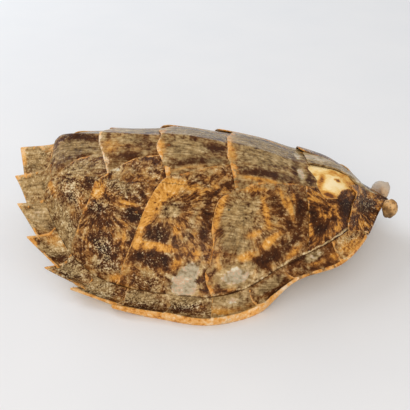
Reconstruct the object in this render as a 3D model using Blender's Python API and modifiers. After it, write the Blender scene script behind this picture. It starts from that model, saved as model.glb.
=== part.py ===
"""Sea turtle shell: the dried upper shell of a hawksbill kind of turtle, lying dome up on its rim.

The shell grew as one piece, so it is one object, the carapace: a bony dome, the overlapping horny
plates on it, a saw-toothed tail end and two round knobs beside the neck. +X is the head end and +Z
is up. The origin is under the middle of the shell, on the surface that its rim lies on.

The outer skin is a loft. u runs from 0 at the tail to 14 at the neck, through one station for each
seam between two plates of the rim. v runs from 0 at the keel over the shoulder (1) and the flank
(1.6) to the seam above the rim plates (2.2) and the rim's upper edge (3).
"""

import math

import bmesh
import bpy
from mathutils import Matrix, Vector

MM = 0.001

# ---------------------------------------------------------------- driving sizes, in millimetres
MIDDLE_X = 5.25  # the middle of the shell's length, where the origin is

# Upper edge of the rim at each station: x, half-width, height.
RIM = (
    (-174, 0, 95), (-169, 22, 77), (-164, 43, 60), (-153, 65, 40), (-134, 85, 22),
    (-108, 103, 13), (-76, 120, 9), (-34, 132, 9), (7, 138, 8), (48, 124, 10),
    (82, 101, 22), (124, 80, 23), (150, 53, 30), (169, 19, 39.5), (181, 0, 41),
)
# Seam between the rim plates and the flank plates.
RIM_SEAM = (
    (-144, 0, 98), (-148, 20, 82), (-148, 39, 63), (-137, 58, 44), (-121, 76, 27),
    (-99, 92, 16), (-67, 106, 13), (-27, 115, 14), (8, 118, 14), (40, 108, 17),
    (72, 91, 28), (116, 68, 38), (140, 46, 42), (154, 22, 48), (160, 0, 52),
)
# Shoulder, where the roof turns down into the flank: x, half-width.
SHOULDER = (
    (-136, 0), (-134, 20), (-129, 33), (-119, 42), (-104, 48),
    (-86, 53), (-62, 57), (-26, 60), (8, 61), (38, 59),
    (68, 55), (100, 48), (125, 37), (144, 19), (151, 0),
)
# Where each station's line meets the keel.
KEEL_STATIONS = (-128, -122, -114, -104, -92, -76, -56, -25, 8, 38, 66, 96, 118, 134, 142)
# Height of the keel: x, z.
KEEL_PROFILE = (
    (-175, 95), (-145, 97), (-142, 102), (-133, 108), (-120, 110.5), (-98, 111), (-70, 110.5),
    (-41, 110), (-18, 109), (6, 105.5), (28, 100.5), (50, 95.5), (70, 89), (90, 82),
    (108, 78.5), (121, 76), (139, 68), (158, 54), (172, 43), (182, 39),
)
# Fall of the roof from the keel to the shoulder: x, fall for each millimetre of half-width.
ROOF_FALL = (
    (-150, 0.62), (-95, 0.50), (-45, 0.41), (10, 0.37),
    (60, 0.28), (100, 0.22), (150, 0.24), (181, 0.30),
)
ROOF_HOLLOW = (0.93, 0.07)  # the roof starts a little flatter at the keel and steepens outwards
ROOF_HALF_WIDTH = 60  # the half-width at which the roof falls just as much as ROOF_FALL says
FLANK_BULGE = 0.10  # share of the flank's chord by which it swells
FULL_BULGE_HALF_WIDTH = 40  # narrower than this, towards tail and neck, the flank swells less
KEEL_TURN = 0.3  # how much the section bends down on leaving the keel
RIM_TURN = 0.5  # how much it bends on reaching the rim
RIM_EDGE = (2, 2, 2, 2, 2, 3, 5, 10.5, 9.5, 11, 4, 3, 2.5, 2, 2)  # height of the rim's edge at each station
RIM_WALL = (3, 3, 3, 3, 3, 4, 5, 5, 5, 5, 4, 4, 4, 4, 4)  # its width underneath

WALL = 3.2  # thickness of bone and plate together
BACKBONE = 6.0  # how far the backbone stands out of the inside
BACKBONE_REACH = 0.22  # its half-width, as v

LEDGE = 2.0  # height of the free edge of a back or flank plate over the plate behind it
LEDGE_CORNER = 0.7  # what the upper corner of a flank plate's edge adds to that
LEDGE_RIM = 1.5  # height of the free edge of a rim plate
LEDGE_FADE = 1.3  # how fast a plate sinks from its free edge forwards
LEDGE_SINK = 0.35  # share of the ledge that lies below the mean skin
LEDGE_RUN = 0.03  # half the length of a ledge's slope, as a share of a station
GROOVE = 0.7  # depth of the gutter between flank and rim plates

# Free edges of the plates, as column numbers, from the tail forwards.
BACK_EDGES = (0, 3, 5, 7, 11, 14)
FLANK_EDGES = (2, 4, 5.7, 8, 10.49, 12)
RIM_EDGES = tuple(range(13))

# How the seams cross the skin: column number, u on the keel, (u, v) of the seam between back and
# flank plates, (u, v) of the flank plates' upper corners, and u on the seam above the rim.
SEAM_PATHS = (
    (0, 0, (0, 2.0), (0, 2.1), 0),
    (2, 1.6, (1.95, 1.45), (1.95, 1.6), 1.95),
    (3, 3.49, (4.1, 0.40), (3.4, 1.2), 3),
    (4, 4.6, (4.9, 0.79), (4.39, 1.0), 4),
    (5, 6.51, (6.5, 0.40), (5.7, 1.03), 5),
    (5.7, 6.85, (6.8, 0.79), (6.5, 1.05), 5.7),
    (7, 8.43, (8.42, 0.45), (7.5, 1.05), 7),
    (8, 8.8, (8.7, 0.88), (8.1, 1.12), 8),
    (10.49, 11.1, (11.0, 0.54), (10.8, 1.05), 10.49),
    (11, 12.03, (12.5, 0.55), (11.5, 1.1), 11),
    (12, 12.8, (12.9, 1.0), (12.6, 1.4), 11.7),
    (14, 14, (14, 2.0), (14, 2.1), 14),
)

# Teeth of the tail end: how far each rim plate's rear corner stands out of the rim, as -x and
# outwards, at stations 0 to 6.
TEETH = ((-1, 0), (-8.5, 0), (-9, 0), (-8.5, 2), (-9, 3.5), (-9.5, 3), (-3, 3))
TOOTH_FADE = 1.5
NOTCH = 0.09  # how far behind its station the next plate's rim comes out from under a tooth

KNOB_CENTRE = (179, 16.4, 40)
KNOB_RADII = (8.5, 7, 9)

# Patch beside the keel where the horny plate has broken off the bone, on the right flank.
BARE_PATCH_U = (10.9, 13.4)
BARE_PATCH_V = (0.1, 0.88)
BARE_PATCH_DEPTH = 1.2
BARE_PATCH_HEIGHT = 7.0
BARE_PATCH_JAG = 0.16  # how far its broken edge zigzags, as v


# ---------------------------------------------------------------- the loft
def along(points, u):
    """A smooth curve (Catmull-Rom) through the points, which lie at u = 0, 1, 2 and so on."""
    last = len(points) - 1
    i = min(max(math.floor(u), 0), last - 1)
    before = points[i - 1] if i > 0 else 2 * points[0] - points[1]
    after = points[i + 2] if i + 2 <= last else 2 * points[last] - points[last - 1]
    here, ahead = points[i], points[i + 1]
    f = u - i
    return 0.5 * (
        2 * here
        + (ahead - before) * f
        + (2 * before - 5 * here + 4 * ahead - after) * f**2
        + (3 * here - before - 3 * ahead + after) * f**3
    )


def between(table, x):
    """Straight interpolation in a table of (x, value), whose values are numbers or vectors."""
    for (x0, value0), (x1, value1) in zip(table, table[1:]):
        if x <= x1:
            break
    share = min(max((x - x0) / (x1 - x0), 0), 1)
    return value0 + (value1 - value0) * share


def keel_slopes():
    """The slope at each point of the keel's profile, such that the curve never overshoots."""
    slopes = [(z1 - z0) / (x1 - x0) for (x0, z0), (x1, z1) in zip(KEEL_PROFILE, KEEL_PROFILE[1:])]
    inner = [2 * a * b / (a + b) if a * b > 0 else 0 for a, b in zip(slopes, slopes[1:])]
    return [slopes[0]] + inner + [slopes[-1]]


KEEL_SLOPES = keel_slopes()


def hermite(p0, m0, p1, m1, length, t):
    return (
        (1 + 2 * t) * (1 - t) ** 2 * p0
        + t * (1 - t) ** 2 * length * m0
        + t**2 * (3 - 2 * t) * p1
        + t**2 * (t - 1) * length * m1
    )


def keel_height(x):
    for i in range(len(KEEL_PROFILE) - 1):
        if x <= KEEL_PROFILE[i + 1][0]:
            break
    (x0, z0), (x1, z1) = KEEL_PROFILE[i], KEEL_PROFILE[i + 1]
    t = min(max((x - x0) / (x1 - x0), 0), 1)
    return hermite(z0, KEEL_SLOPES[i], z1, KEEL_SLOPES[i + 1], x1 - x0, t)


def roof_height(x, half_width):
    flat, steep = ROOF_HOLLOW
    return keel_height(x) - half_width * between(ROOF_FALL, x) * (flat + steep * half_width / ROOF_HALF_WIDTH)


RIM_POINTS = [Vector(p) for p in RIM]
RIM_SEAM_POINTS = [Vector(p) for p in RIM_SEAM]
SHOULDER_POINTS = [Vector(p) for p in SHOULDER]
KNOTS = (0, 1, 1.6, 2.2, 3)


def section(u):
    """The five points of the loft's section at u: keel, shoulder, flank, rim seam and rim."""
    keel_x = along(KEEL_STATIONS, u)
    x, half_width = along(SHOULDER_POINTS, u)
    keel = Vector((keel_x, 0, keel_height(keel_x)))
    shoulder = Vector((x, half_width, roof_height(x, half_width)))
    seam = along(RIM_SEAM_POINTS, u)
    chord = seam - shoulder
    level = Vector((chord.x, chord.y, 0))
    outwards = Vector((0, 0, level.length)) - level.normalized() * chord.z
    bulge = FLANK_BULGE * min(1, half_width / FULL_BULGE_HALF_WIDTH)
    flank = (shoulder + seam) / 2 + outwards * bulge
    return keel, shoulder, flank, seam, along(RIM_POINTS, u)


def skin(u, v):
    """The point of the mean outer skin at (u, v), on the +Y side."""
    points = section(u)
    spans = [b - a for a, b in zip(KNOTS, KNOTS[1:])]
    slopes = [(b - a) / span for a, b, span in zip(points, points[1:], spans)]
    turns = [
        (slopes[i] * spans[i + 1] + slopes[i + 1] * spans[i]) / (spans[i] + spans[i + 1])
        for i in range(3)
    ]
    turns.insert(0, (1 + KEEL_TURN) * slopes[0] - KEEL_TURN * turns[0])
    turns.append((1 + RIM_TURN) * slopes[3] - RIM_TURN * turns[-1])
    i = next(i for i in range(4) if v <= KNOTS[i + 1] or i == 3)
    return hermite(points[i], turns[i], points[i + 1], turns[i + 1], spans[i], (v - KNOTS[i]) / spans[i])


def outward(u, v):
    """The direction out of the skin at (u, v)."""
    step = 0.02
    forwards = skin(u + step, v) - skin(u - step, v)
    down = skin(u, v + step) - skin(u, v - step)
    return forwards.cross(down).normalized()


# ---------------------------------------------------------------- plates and teeth
def plate_ramp(column, edges):
    """1 at a plate's free edge, falling to 0 where the next plate's edge covers it."""
    for rear, front in zip(edges, edges[1:]):
        if rear <= column < front:
            return (1 - (column - rear) / (front - rear)) ** LEDGE_FADE
    return 0.0


def relief(column, zone, share):
    """How far the plates lie outside the mean skin. share runs across the zone, from the keel out."""
    if zone == "back":
        return LEDGE * (plate_ramp(column, BACK_EDGES) - LEDGE_SINK)
    if zone == "flank" and FLANK_EDGES[0] <= column < FLANK_EDGES[-1]:
        height = LEDGE + LEDGE_CORNER * (1 - share)
        return height * (plate_ramp(column, FLANK_EDGES) - LEDGE_SINK)
    return LEDGE_RIM * (plate_ramp(column, RIM_EDGES) - LEDGE_SINK)


def rim_share(v):
    """0 on the rim seam and above it, 1 on the rim."""
    return max(0, (v - KNOTS[3]) / (KNOTS[4] - KNOTS[3]))


def tooth(column):
    """How far the tooth of this column's rim plate carries the rim outwards."""
    station = math.floor(column)
    if station >= len(TEETH):
        return Vector((0, 0, 0))
    back, out = TEETH[station]
    return Vector((back, out, 0)) * (1 - (column - station)) ** TOOTH_FADE


def notched(column, u, v):
    """u, moved back on the last column before a tooth, so that the rim comes out from under it."""
    ahead = round(column)
    if 0 < ahead < len(TEETH) and 0 < ahead - column < 2 * LEDGE_RUN:
        return u - NOTCH * rim_share(v) ** 2
    return u


# ---------------------------------------------------------------- rows and columns of the sheet
def make_columns():
    """Column numbers from tail to neck: a pair at each free edge and even ones between the pairs."""
    edges = sorted(set(BACK_EDGES) | set(FLANK_EDGES) | set(RIM_EDGES))
    columns = []
    for rear, front in zip(edges, edges[1:]):
        count = 3 if front - rear > 0.75 else 2
        first, last = rear + LEDGE_RUN, front - LEDGE_RUN
        columns += [first + (last - first) * i / count for i in range(count + 1)]
    columns[0] = edges[0]
    columns[-1] = edges[-1]
    return columns


# Outer rows, as zone and share across it. Two rows close together make a ledge along a seam.
OUTER_ROWS = (
    ("back", 0), ("back", 0.35), ("back", 0.7), ("back", 0.985),
    ("corner", 0.03), ("corner", 0.35), ("corner", 0.68),
    ("flank", 0), ("flank", 0.25), ("flank", 0.5), ("flank", 0.75), ("flank", 0.965),
    ("gutter", 0), ("rim", 0.06), ("rim", 0.4), ("rim", 0.75), ("rim", 1),
)
INNER_ROWS = (2.75, 2.3, 1.75, 1.2, 0.7, 0.25, 0.1, 0)  # v, from the rim back to the keel


def paths_at(column):
    """Where this column crosses each line of SEAM_PATHS, as vectors (u, v)."""
    keel = between([(path[0], Vector((path[1], 0))) for path in SEAM_PATHS], column)
    back = between([(path[0], Vector(path[2])) for path in SEAM_PATHS], column)
    corner = between([(path[0], Vector(path[3])) for path in SEAM_PATHS], column)
    seam = between([(path[0], Vector((path[4], KNOTS[3]))) for path in SEAM_PATHS], column)
    return keel, back, corner, seam, Vector((column, KNOTS[4]))


def outer_point(column, zone, share):
    keel, back, corner, seam, rim = paths_at(column)
    ends = {
        "back": (keel, back), "corner": (back, corner), "flank": (corner, seam),
        "gutter": (seam, seam), "rim": (seam, rim),
    }
    start, end = ends[zone]
    u, v = start.lerp(end, share)
    if zone == "gutter":
        in_gutter = FLANK_EDGES[0] < column < FLANK_EDGES[-1]
        height = -GROOVE if in_gutter else relief(column, "rim", 0)
    elif zone == "corner":
        height = relief(column, "flank", 0)
    else:
        height = relief(column, zone, share)
    if zone == "rim":
        height *= 1 - share / 2
    u = notched(column, u, v)
    return skin(u, v) + outward(u, v) * height + tooth(column) * rim_share(v) ** 2


def rim_foot(column, inwards):
    """The lower edge of the rim, or a point inwards of it by the rim's width underneath."""
    top = outer_point(column, "rim", 1)
    foot = top - Vector((0, 0, along(RIM_EDGE, column)))
    if inwards:
        step = 0.05
        run = along(RIM_POINTS, column + step) - along(RIM_POINTS, column - step)
        foot += Vector((run.y, -run.x, 0)).normalized() * along(RIM_WALL, column)
    return foot


def inner_point(column, v):
    keel_u = paths_at(column)[0].x
    u = notched(column, keel_u + (column - keel_u) * min(1, v / KNOTS[3]), v)
    backbone = BACKBONE * max(0, 1 - (v / BACKBONE_REACH) ** 2)
    inside = skin(u, v) - outward(u, v) * WALL
    inside.z -= backbone
    return inside + tooth(column) * rim_share(v) ** 2


def sheet_point(column, row):
    """A point of the sheet that folds round the rim: outer rows, the rim's foot, then inner rows."""
    if row < len(OUTER_ROWS):
        return outer_point(column, *OUTER_ROWS[row])
    row -= len(OUTER_ROWS)
    if row < 2:
        return rim_foot(column, inwards=row == 1)
    return inner_point(column, INNER_ROWS[row - 2])


# ---------------------------------------------------------------- making the objects
def move_grid(bm, columns, rows, place):
    """Moves a flat grid of columns by rows points to where place(column, row) says, in metres."""
    for vert in bm.verts:
        i = round((vert.co.x + 1) / 2 * (columns - 1))
        j = round((vert.co.y + 1) / 2 * (rows - 1))
        point = place(i, j)
        point.x -= MIDDLE_X
        vert.co = point * MM


def new_object(name, bm, collection):
    mesh = bpy.data.meshes.new(name)
    bm.to_mesh(mesh)
    bm.free()
    obj = bpy.data.objects.new(name, mesh)
    collection.objects.link(obj)
    return obj


def new_helper(name, bm, collection):
    helper = new_object(name, bm, collection)
    helper.hide_render = True
    helper.display_type = "WIRE"
    return helper


def add_mirror(obj):
    mirror = obj.modifiers.new("other flank", "MIRROR")
    mirror.use_axis = (False, True, False)
    mirror.merge_threshold = 0.00001


def add_boolean(obj, other, operation):
    boolean = obj.modifiers.new(other.name, "BOOLEAN")
    boolean.object = other
    boolean.operation = operation
    boolean.solver = "EXACT"


def make_shell(collection):
    """The left half of the shell as one folded sheet, open at the plane y = 0, and its mirror image."""
    columns = make_columns()
    rows = len(OUTER_ROWS) + 2 + len(INNER_ROWS)
    ends = (0, len(columns) - 1)
    middle_rows = (0, rows - 1)

    def place(i, j):
        point = sheet_point(columns[i], j)
        if i in ends or j in middle_rows:
            point.y = 0
        point.z = max(point.z, 0)
        return point

    bm = bmesh.new()
    bmesh.ops.create_grid(bm, x_segments=len(columns) - 1, y_segments=rows - 1, size=1)
    move_grid(bm, len(columns), rows, place)
    shell = new_object("carapace", bm, collection)
    add_mirror(shell)
    return shell


def make_knobs(collection):
    """The two round bony knobs beside the neck, as one helper."""
    bm = bmesh.new()
    centre = Vector(KNOB_CENTRE) - Vector((MIDDLE_X, 0, 0))
    shape = Matrix.Translation(centre * MM) @ Matrix.Diagonal([*KNOB_RADII, 1]) @ Matrix.Scale(MM, 4)
    bmesh.ops.create_uvsphere(bm, u_segments=16, v_segments=10, radius=1, matrix=shape)
    knobs = new_helper("knobs", bm, collection)
    add_mirror(knobs)
    return knobs


def make_bare_patch(collection):
    """A slab that follows the skin, for cutting the broken-off plate away on the right flank."""
    count_u, count_v = 8, 4

    def place(i, j):
        u = BARE_PATCH_U[0] + (BARE_PATCH_U[1] - BARE_PATCH_U[0]) * i / (count_u - 1)
        v = BARE_PATCH_V[0] + (BARE_PATCH_V[1] - BARE_PATCH_V[0]) * j / (count_v - 1)
        if j == count_v - 1:
            v -= BARE_PATCH_JAG * (i % 2)
        point = skin(u, v) - outward(u, v) * BARE_PATCH_DEPTH
        point.y = -point.y
        return point

    bm = bmesh.new()
    bmesh.ops.create_grid(bm, x_segments=count_u - 1, y_segments=count_v - 1, size=1)
    move_grid(bm, count_u, count_v, place)
    bmesh.ops.reverse_faces(bm, faces=bm.faces)
    patch = new_helper("bare_patch", bm, collection)
    solidify = patch.modifiers.new("height", "SOLIDIFY")
    solidify.thickness = BARE_PATCH_HEIGHT * MM
    solidify.offset = 1
    return patch


def tortoiseshell():
    """Dark brown horn with an amber glow, under varnish."""
    material = bpy.data.materials.new("tortoiseshell")
    material.use_nodes = True
    horn = material.node_tree.nodes["Principled BSDF"]
    horn.inputs["Base Color"].default_value = (0.14, 0.065, 0.022, 1)
    horn.inputs["Roughness"].default_value = 0.28
    horn.inputs["Metallic"].default_value = 0
    return material


def main():
    for obj in list(bpy.data.objects):
        bpy.data.objects.remove(obj, do_unlink=True)
    model = bpy.data.collections.new("sea_turtle_shell")
    helpers = bpy.data.collections.new("helpers")
    for collection in (model, helpers):
        bpy.context.scene.collection.children.link(collection)
    carapace = make_shell(model)
    add_boolean(carapace, make_knobs(helpers), "UNION")
    add_boolean(carapace, make_bare_patch(helpers), "DIFFERENCE")
    carapace.data.materials.append(tortoiseshell())


main()
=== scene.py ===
# %% [markdown]
# # A sea turtle's shell
#
# A dried, varnished hawksbill kind of shell lies dome up. Three things make it: a bony dome, horny
# plates that overlap on it like roof tiles from the tail upwards, and two bony knobs at the neck.
# This lesson lays the plates one by one, because their free edges, gaps and streaks are what the eye
# knows a tortoise shell by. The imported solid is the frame: it is loaded first and never changed.

# %% Load the frame
import math

import bmesh
import bpy
import numpy as np
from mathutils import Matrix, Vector, noise
from mathutils.kdtree import KDTree


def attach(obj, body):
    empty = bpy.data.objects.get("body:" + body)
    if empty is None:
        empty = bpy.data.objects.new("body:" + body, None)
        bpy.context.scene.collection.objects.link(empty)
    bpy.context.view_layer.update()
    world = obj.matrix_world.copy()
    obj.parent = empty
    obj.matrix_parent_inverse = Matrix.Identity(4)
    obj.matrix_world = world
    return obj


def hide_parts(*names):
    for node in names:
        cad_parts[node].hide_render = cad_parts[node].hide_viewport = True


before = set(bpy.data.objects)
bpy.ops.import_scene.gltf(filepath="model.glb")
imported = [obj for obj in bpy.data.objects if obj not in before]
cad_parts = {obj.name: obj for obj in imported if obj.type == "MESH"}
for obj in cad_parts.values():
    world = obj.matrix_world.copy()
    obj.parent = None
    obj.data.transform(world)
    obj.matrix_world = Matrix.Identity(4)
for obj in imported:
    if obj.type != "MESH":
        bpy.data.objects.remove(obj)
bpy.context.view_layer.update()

MM = 0.001

# %% [markdown]
# ## The skin that everything follows
#
# Every plate lies on one smooth skin, so the skin is a function first: skin(u, v) gives a point.
# u runs from 0 at the tail to 14 at the neck and v from 0 at the keel to 3 at the rim, then round
# the rim's edge. Negative v is the right flank. A sculpted mesh would do too, but with a function
# each seam can be written down as a few pairs (u, v), and a change of shape carries every plate along.

# %% Driving sizes of the skin, in millimetres
# The first three tables have a row for each whole u: x, y and z, or for the shoulder x and half width.
# The keel has its x at each whole u, and a profile (x, z). The roof falls from it to the shoulder by
# (x, mm of fall for each mm of half width).
MIDDLE_X = 5.25

RIM = (
    (-174, 0, 95), (-169, 22, 77), (-164, 43, 60), (-153, 65, 40), (-134, 85, 22),
    (-108, 103, 13), (-76, 120, 9), (-34, 132, 9), (7, 138, 8), (48, 124, 10),
    (82, 101, 22), (124, 80, 23), (150, 53, 30), (169, 19, 39.5), (181, 0, 41),
)
RIM_SEAM = (
    (-144, 0, 98), (-148, 20, 82), (-148, 39, 63), (-137, 58, 44), (-121, 76, 27),
    (-99, 92, 16), (-67, 106, 13), (-27, 115, 14), (8, 118, 14), (40, 108, 17),
    (72, 91, 28), (116, 68, 38), (140, 46, 42), (154, 22, 48), (160, 0, 52),
)
SHOULDER = (
    (-136, 0), (-134, 20), (-129, 33), (-119, 42), (-104, 48),
    (-86, 53), (-62, 57), (-26, 60), (8, 61), (38, 59),
    (68, 55), (100, 48), (125, 37), (144, 19), (151, 0),
)
KEEL_STATIONS = (-128, -122, -114, -104, -92, -76, -56, -25, 8, 38, 66, 96, 118, 134, 142)
KEEL_PROFILE = (
    (-175, 95), (-145, 97), (-142, 102), (-133, 108), (-120, 110.5), (-98, 111), (-70, 110.5),
    (-41, 110), (-18, 109), (6, 105.5), (28, 100.5), (50, 95.5), (70, 89), (90, 82),
    (108, 78.5), (121, 76), (139, 68), (158, 54), (172, 43), (182, 39),
)
ROOF_FALL = (
    (-150, 0.62), (-95, 0.50), (-45, 0.41), (10, 0.37),
    (60, 0.28), (100, 0.22), (150, 0.24), (181, 0.30),
)
ROOF_HOLLOW = (0.93, 0.07)
ROOF_HALF_WIDTH = 60
FLANK_BULGE = 0.10
FULL_BULGE_HALF_WIDTH = 40
KEEL_TURN = 0.3
RIM_TURN = 0.5
RIM_EDGE = (2, 2, 2, 2, 2, 3, 5, 10.5, 9.5, 11, 4, 3, 2.5, 2, 2)
RIM_WALL = (3, 3, 3, 3, 3, 4, 5, 5, 5, 5, 4, 4, 4, 4, 4)
KNOTS = np.array((0, 1, 1.6, 2.2, 3))  # v of keel, shoulder, flank, rim seam and rim
LAST_U = 14
UNDER_V = 3.8  # v where the plates end under the rim


# %% Two kinds of smooth line
def catmull_rom(points, u):
    """A smooth curve through points that lie at u = 0, 1, 2 and so on."""
    points = np.array(points, float)
    if points.ndim == 1:
        points = points[:, None]
    padded = np.vstack([2 * points[0] - points[1], points, 2 * points[-1] - points[-2]])
    i = np.clip(np.floor(u).astype(int), 0, len(points) - 2)
    f = (u - i)[:, None]
    a, b, c, d = (padded[i + k] for k in range(4))
    cubic = (2 * a - 5 * b + 4 * c - d) * f**2 + (3 * b - a - 3 * c + d) * f**3
    return 0.5 * (2 * b + (c - a) * f + cubic)


def hermite(p0, m0, p1, m1, length, t):
    return (
        (1 + 2 * t) * (1 - t) ** 2 * p0
        + t * (1 - t) ** 2 * length * m0
        + t**2 * (3 - 2 * t) * p1
        + t**2 * (t - 1) * length * m1
    )


def smooth_through(table, x):
    """A smooth curve through a table of (x, y) that never swings past its points."""
    xs, ys = np.array(table, float).T
    slope = np.diff(ys) / np.diff(xs)
    same_way = slope[:-1] * slope[1:] > 0
    total = np.where(same_way, slope[:-1] + slope[1:], 1)
    inner = np.where(same_way, 2 * slope[:-1] * slope[1:] / total, 0)
    m = np.concatenate([slope[:1], inner, slope[-1:]])
    i = np.clip(np.searchsorted(xs, x) - 1, 0, len(xs) - 2)
    length = xs[i + 1] - xs[i]
    t = np.clip((x - xs[i]) / length, 0, 1)
    return hermite(ys[i], m[i], ys[i + 1], m[i + 1], length, t)


# %% The skin
def section(u):
    """The five points across the skin at each u, on the left flank: keel to rim."""
    keel_x = catmull_rom(KEEL_STATIONS, u)[:, 0]
    keel = np.stack([keel_x, 0 * keel_x, smooth_through(KEEL_PROFILE, keel_x)], axis=1)
    x, half_width = catmull_rom(SHOULDER, u).T
    flat, steep = ROOF_HOLLOW
    fall = np.interp(x, *np.array(ROOF_FALL).T) * (flat + steep * half_width / ROOF_HALF_WIDTH)
    z = smooth_through(KEEL_PROFILE, x) - half_width * fall
    shoulder = np.stack([x, half_width, z], axis=1)
    seam = catmull_rom(RIM_SEAM, u)
    chord = seam - shoulder
    level = np.hypot(chord[:, 0], chord[:, 1]) + 1e-9
    outwards = np.stack([-chord[:, 0] * chord[:, 2] / level, -chord[:, 1] * chord[:, 2] / level, level], 1)
    bulge = FLANK_BULGE * np.minimum(1, half_width / FULL_BULGE_HALF_WIDTH)
    flank = (shoulder + seam) / 2 + outwards * bulge[:, None]
    return np.stack([keel, shoulder, flank, seam, catmull_rom(RIM, u)], axis=1)


def dome(u, v):
    """The skin above the rim's edge, on the left flank, for v from 0 to 3."""
    points = section(u)
    spans = np.diff(KNOTS)
    slopes = np.diff(points, axis=1) / spans[None, :, None]
    turns = np.zeros_like(points)
    for k in range(1, 4):
        turns[:, k] = (slopes[:, k - 1] * spans[k] + slopes[:, k] * spans[k - 1]) / (spans[k - 1] + spans[k])
    turns[:, 0] = (1 + KEEL_TURN) * slopes[:, 0] - KEEL_TURN * turns[:, 1]
    turns[:, 4] = (1 + RIM_TURN) * slopes[:, 3] - RIM_TURN * turns[:, 3]
    k = np.clip(np.searchsorted(KNOTS, v) - 1, 0, 3)
    row = np.arange(len(u))
    t = ((v - KNOTS[k]) / spans[k])[:, None]
    return hermite(points[row, k], turns[row, k], points[row, k + 1], turns[row, k + 1], spans[k][:, None], t)


BROW = (2.9, 3.12)  # v between which the top turns round into the rim's edge
FOOT_V = 3.4  # v of the rim's lower edge


def inwards(u):
    """The level direction from the rim towards the inside."""
    run = catmull_rom(RIM, np.clip(u + 0.05, 0, LAST_U)) - catmull_rom(RIM, np.clip(u - 0.05, 0, LAST_U))
    run /= np.linalg.norm(run[:, :2], axis=1, keepdims=True)
    return np.stack([run[:, 1], -run[:, 0], 0 * run[:, 0]], axis=1)


def skin(u, v):
    """Points of the mean outer skin, in millimetres. u and v are arrays of one length."""
    side, v = np.where(v < 0, -1, 1), np.abs(v)
    rim = catmull_rom(RIM, u)
    edge, wall = catmull_rom(RIM_EDGE, u)[:, 0], catmull_rom(RIM_WALL, u)[:, 0]
    down = np.zeros_like(rim)
    down[:, 2] = -edge
    fall = np.clip((v - 3) / (FOOT_V - 3), 0, 1)[:, None]
    under = np.clip((v - FOOT_V) / (UNDER_V - FOOT_V), 0, 1)
    round_off = 0.3 * edge * np.clip(1 - np.abs(v - FOOT_V) / 0.12, 0, 1) ** 2
    lower = rim + down * fall + inwards(u) * (wall * under + 0.5 * round_off)[:, None]
    lower[:, 2] += 0.5 * round_off
    point = np.where((v <= 3)[:, None], dome(u, np.minimum(v, 3)), lower)
    t = np.clip((v - BROW[0]) / (BROW[1] - BROW[0]), 0, 1)[:, None]
    start = dome(u, np.full_like(u, BROW[0]))
    end = rim + down * (BROW[1] - 3) / (FOOT_V - 3)
    brow = start * (1 - t) ** 2 + 2 * rim * t * (1 - t) + end * t**2
    point = np.where(((v > BROW[0]) & (v < BROW[1]))[:, None], brow, point)
    point[:, 0] -= MIDDLE_X
    point[:, 1] *= side
    point[:, 2] = np.maximum(point[:, 2], 0)
    return point


# %% [markdown]
# ## A guide mesh of the skin
#
# Geometry Nodes can't call a Python function, but they can look up a place on a mesh. So the skin
# becomes a fine grid whose UV map is simply (u, v) squeezed between 0 and 1, with its outward
# direction stored on it. It only guides, and is deleted at the end.

# %% Build the guide
def rows_of_v():
    upper = np.linspace(0, BROW[0], 59)
    lower = np.linspace(BROW[0], UNDER_V, 31)[1:]
    half = np.concatenate([upper, lower])
    return np.concatenate([-half[:0:-1], half])


def outward_of(grid):
    """The outward direction at each point of a grid of the skin, level along the middle line."""
    forwards = np.gradient(grid, axis=0)
    across = np.gradient(grid, axis=1)
    out = np.cross(forwards, across)
    out += out[:, ::-1] * (1, -1, 1) * (np.arange(grid.shape[1]) == grid.shape[1] // 2)[None, :, None]
    for end in (0, -1):
        out[end] += out[end, ::-1] * (1, -1, 1)
    return out / (np.linalg.norm(out, axis=2, keepdims=True) + 1e-12)


def grid_faces(columns, rows, loop=False):
    """The quads of a grid of columns by rows points. With loop, the last row joins the first."""
    i, j = np.meshgrid(np.arange(columns - 1), np.arange(rows if loop else rows - 1), indexing="ij")
    after = (j + 1) % rows
    quads = np.stack([i * rows + j, (i + 1) * rows + j, (i + 1) * rows + after, i * rows + after], -1)
    return quads.reshape(-1, 4)


def mesh_of(name, points, faces):
    mesh = bpy.data.meshes.new(name)
    mesh.from_pydata(np.asarray(points, float).reshape(-1, 3).tolist(), [], faces.tolist())
    mesh.shade_smooth()
    return mesh


def put(name, mesh):
    """A new object of this mesh, in the scene, at the origin."""
    thing = bpy.data.objects.new(name, mesh)
    bpy.context.scene.collection.objects.link(thing)
    return thing


def store(mesh, name, values, kind="FLOAT"):
    """Stores a value or a vector for each point of the mesh, for nodes to read."""
    made = mesh.attributes.new(name, kind, "POINT")
    key = "vector" if kind == "FLOAT_VECTOR" else "value"
    made.data.foreach_set(key, np.ascontiguousarray(values, dtype=np.float32).ravel())


guide_u, guide_v = np.linspace(0, LAST_U, 281), rows_of_v()
U, V = (a.ravel() for a in np.meshgrid(guide_u, guide_v, indexing="ij"))
guide_grid = skin(U, V).reshape(len(guide_u), len(guide_v), 3)
guide_mesh = mesh_of("guide", guide_grid * MM, grid_faces(len(guide_u), len(guide_v)))
guide_out = outward_of(guide_grid)
store(guide_mesh, "out", guide_out, "FLOAT_VECTOR")


def squeeze(u, v):
    """(u, v) of the skin as a place on its UV map, which stays clear of 0 and 1."""
    return 0.01 + 0.98 * u / LAST_U, 0.5 + 0.49 * v / UNDER_V


corner = np.zeros(len(guide_mesh.loops), np.int32)
guide_mesh.loops.foreach_get("vertex_index", corner)
uv_layer = guide_mesh.uv_layers.new(name="skin")
uv_layer.data.foreach_set("uv", np.stack(squeeze(U[corner], V[corner]), 1).astype(np.float32).ravel())
guide = put("guide", guide_mesh)
print("guide:", len(guide_mesh.vertices), "points")

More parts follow.
